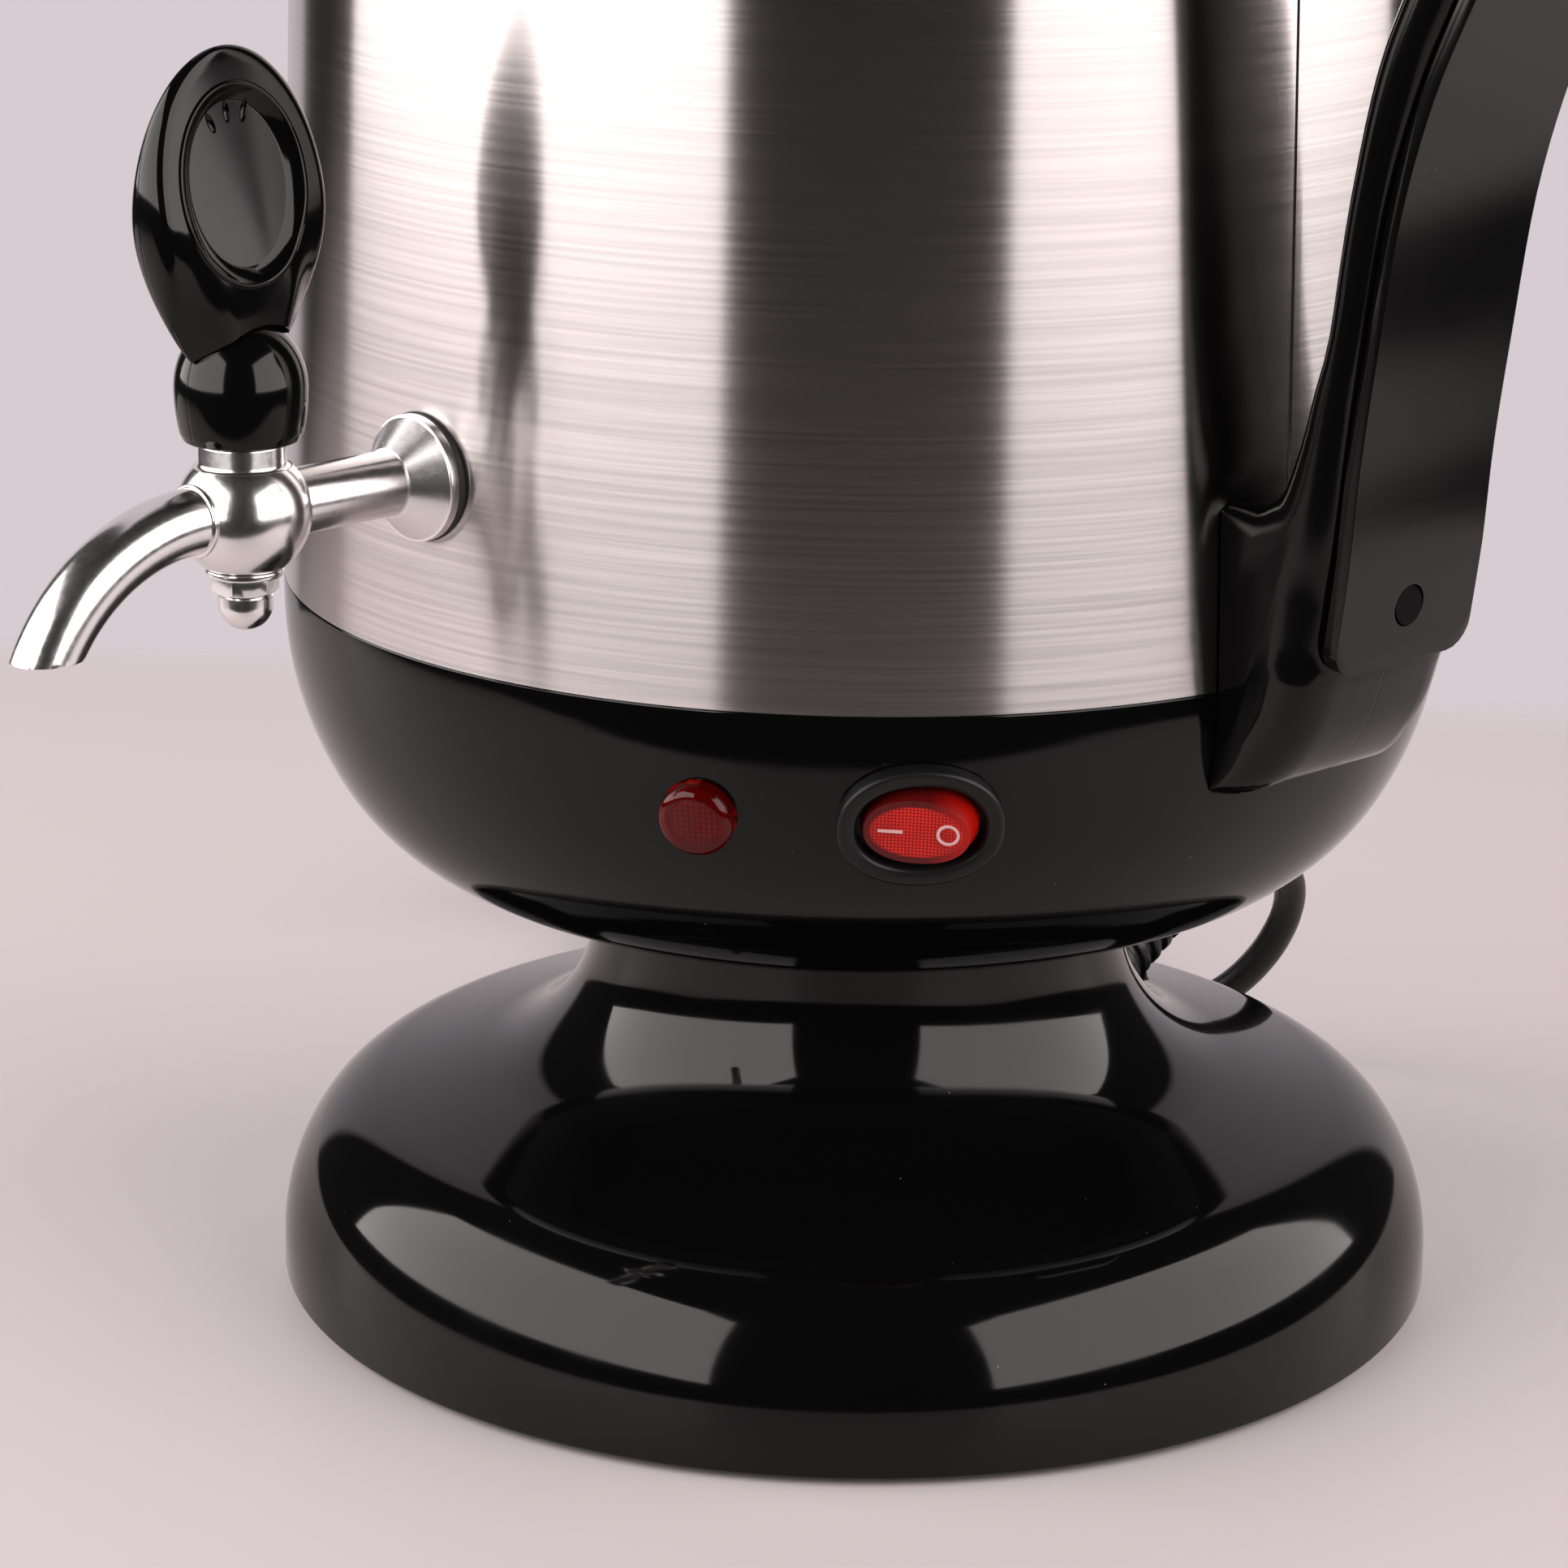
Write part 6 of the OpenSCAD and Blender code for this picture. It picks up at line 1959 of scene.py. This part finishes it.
@dataclass
class Studio:
    """Camera, pale floor, a soft panel on each side and a pale world."""

    position_m: tuple[float, float, float] = (0.6500, -0.6500, 0.3732)
    heading: float = 45.916
    pitch_down: float = 16.781
    roll: float = 0.575
    lens_mm: float = 113.99
    sensor_mm: float = 36.0
    camera_azimuth: float = 45.0
    light_distance_m: float = 0.85
    light_colour: tuple[float, float, float] = (1.0, 0.945, 0.935)
    panels: tuple[Panelight, ...] = (
        Panelight(69.9, 44.15, 0.155, 1.01, 4.7),
        Panelight(-69.9, 44.15, 0.155, 1.01, 5.3),
    )
    backdrop: Colour = (0.675, 0.605, 0.638, 1)
    dark: Colour = (0.030, 0.028, 0.028, 1)
    # The floor's front is painted darker and its back lighter: painted shade and painted light that even out
    # the panels' light.
    floor_shaded_front: Colour = (0.432, 0.393, 0.399, 1)
    floor_lit_back: Colour = (0.64, 0.579, 0.579, 1)
    floor_left_m: float = 0.95
    floor_right_m: float = 0.60
    floor_behind_m: float = 0.426
    floor_ahead_m: float = 0.37
    floor_fade: float = 0.06
    floor_turn: float = -6.2
    floor_drop_m: float = 0.0003
    floor_light_ramp: Point = (-0.9, 0.4)
    floor_power: float = 5.0
    floor_gloss: Point = (0.42, 0.5)
    floor_grain: float = 30.0
    floor_specular: float = 0.35
    wedge: Point = (0.81, 0.85)

    def make_camera(self) -> None:
        """Stand the camera where the photograph was taken."""
        data = bpy.data.cameras.new("camera")
        data.lens = self.lens_mm
        data.sensor_width = self.sensor_mm
        camera = bpy.data.objects.new("camera", data)
        camera.matrix_world = (Matrix.Translation(self.position_m) @ turn(self.heading, "Z")
                               @ turn(90 - self.pitch_down, "X") @ turn(self.roll, "Z"))
        bpy.context.scene.collection.objects.link(camera)
        bpy.context.scene.camera = camera

    def way(self, azimuth: float, elevation: float) -> Vector:
        """The direction from the object at angles to the right of the camera and up."""
        a = math.radians(azimuth + self.camera_azimuth)
        e = math.radians(elevation)
        return Vector((math.sin(a) * math.cos(e), -math.cos(a) * math.cos(e), math.sin(e)))

    def make_lights(self) -> None:
        """Stand the soft panels beside the object."""
        for i, panel in enumerate(self.panels):
            data = bpy.data.lights.new(f"soft_panel_{i + 1}", "AREA")
            data.shape = "RECTANGLE"
            data.size = 2 * self.light_distance_m * math.tan(math.radians(panel.half_azimuth))
            data.size_y = panel.high_m - panel.low_m
            data.energy = panel.radiance * math.pi * data.size * data.size_y
            data.color = self.light_colour
            light = bpy.data.objects.new(data.name, data)
            out = self.way(panel.azimuth, 0)
            light.location = out * self.light_distance_m + Vector((0, 0, (panel.low_m + panel.high_m) / 2))
            light.rotation_euler = out.to_track_quat("Z", "Y").to_euler()
            light.visible_camera = False
            bpy.context.scene.collection.objects.link(light)

    def make_floor(self) -> None:
        """Lay a pale table top with round corners, whose edge fades softly into the backdrop, darker in front
        as painted shade and lighter behind as painted light, evening out the light of the panels.
        """
        half_depth = (self.floor_behind_m + self.floor_ahead_m) / 2
        half_w = (self.floor_left_m + self.floor_right_m) / 2
        aside = self.way(90, 0) * (self.floor_right_m - half_w)
        middle = aside - self.way(0, 0) * (self.floor_behind_m - half_depth)
        heading = self.camera_azimuth + self.floor_turn
        place = shift(middle.x, middle.y, -self.floor_drop_m) @ turn(heading, "Z")
        clear_selection()
        bpy.ops.mesh.primitive_plane_add(size=2 * (1 + self.floor_fade), location=place.translation,
                                         rotation=place.to_euler())
        floor = bpy.context.object
        floor.name = "floor"
        floor.scale = (half_w, half_depth, 1.0)
        bpy.ops.object.transform_apply(location=True, rotation=True, scale=True)
        shader = Shader("pale_floor")
        local = Matrix.Translation(place.translation / MM) @ place.to_3x3().to_4x4()
        axes = shader.axes(shader.coords((1 / half_w, 1 / half_depth, 1.0), local))
        # Painted shade in front and painted light behind, from the front of the floor to its back.
        ahead = shader.fit(axes[1], *self.floor_light_ramp, 0.0, 1.0)
        shader.set({
            "Base Color": shader.mix(ahead, self.floor_shaded_front, self.floor_lit_back),
            "Specular IOR Level": self.floor_specular,
            "Roughness": shader.spread(shader.noise(self.floor_grain, 3), *self.floor_gloss),
        })
        powers = [shader.maths("POWER", shader.maths("ABSOLUTE", axes[i]), self.floor_power) for i in (0, 1)]
        far = shader.maths("POWER", shader.maths("ADD", *powers), 1 / self.floor_power)
        fade = shader.ease(far, 1 - self.floor_fade, 1 + self.floor_fade)
        clear = shader.node("ShaderNodeBsdfTransparent").outputs[0]
        both = shader.node("ShaderNodeMixShader", None, {0: fade, 1: shader.surface.outputs[0], 2: clear})
        shader.fill(shader.tree.nodes["Material Output"], {"Surface": both.outputs[0]})
        floor.data.materials.append(shader.material)

    def make_world(self) -> None:
        """A pale backdrop for the camera, and a dim room with that backdrop behind for everything else."""
        world = bpy.data.worlds.new("studio")
        world.use_nodes = True
        bpy.context.scene.world = world
        nodes = Nodes(world.node_tree)
        level = nodes.vector("MULTIPLY", nodes.node("ShaderNodeTexCoord").outputs["Generated"], (1, 1, 0))
        heading = nodes.vector("NORMALIZE", level.outputs[0])
        behind = nodes.vector("DOT_PRODUCT", heading.outputs[0], -self.way(0, 0))
        wedge = nodes.ease(behind.outputs["Value"], *self.wedge)
        seen = nodes.node("ShaderNodeLightPath").outputs["Is Camera Ray"]
        tone = nodes.mix(nodes.maths("MAXIMUM", seen, wedge), self.dark, self.backdrop)
        nodes.fill(nodes.tree.nodes["Background"], {"Color": tone})


def main() -> None:
    """Build the samovar's pieces in order and dress what is left of its solids."""
    logging.basicConfig(level=logging.INFO, format="%(name)s: %(message)s")
    bpy.context.scene.view_settings.view_transform = "Standard"
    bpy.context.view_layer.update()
    studio = Studio()
    studio.make_camera()
    pedestal = Pedestal()
    Lead(pedestal).build()
    lamp, switch = Lamp(), Switch()
    boiler, bowl = Boiler(), Bowl()
    lamp_place, switch_place = bowl.place(lamp.angle), bowl.place(switch.angle)
    boiler.build()
    bowl.build(lamp_place, switch_place)
    pedestal.build()
    Tap(boiler.radius(PLACES.tap_z)).build()
    Lever().build()
    lamp.build(lamp_place)
    switch.build(switch_place)
    Handles().build(boiler, bowl)
    Top().build()
    Inside().build()
    studio.make_lights()
    studio.make_floor()
    studio.make_world()


if __name__ == "__main__":
    main()
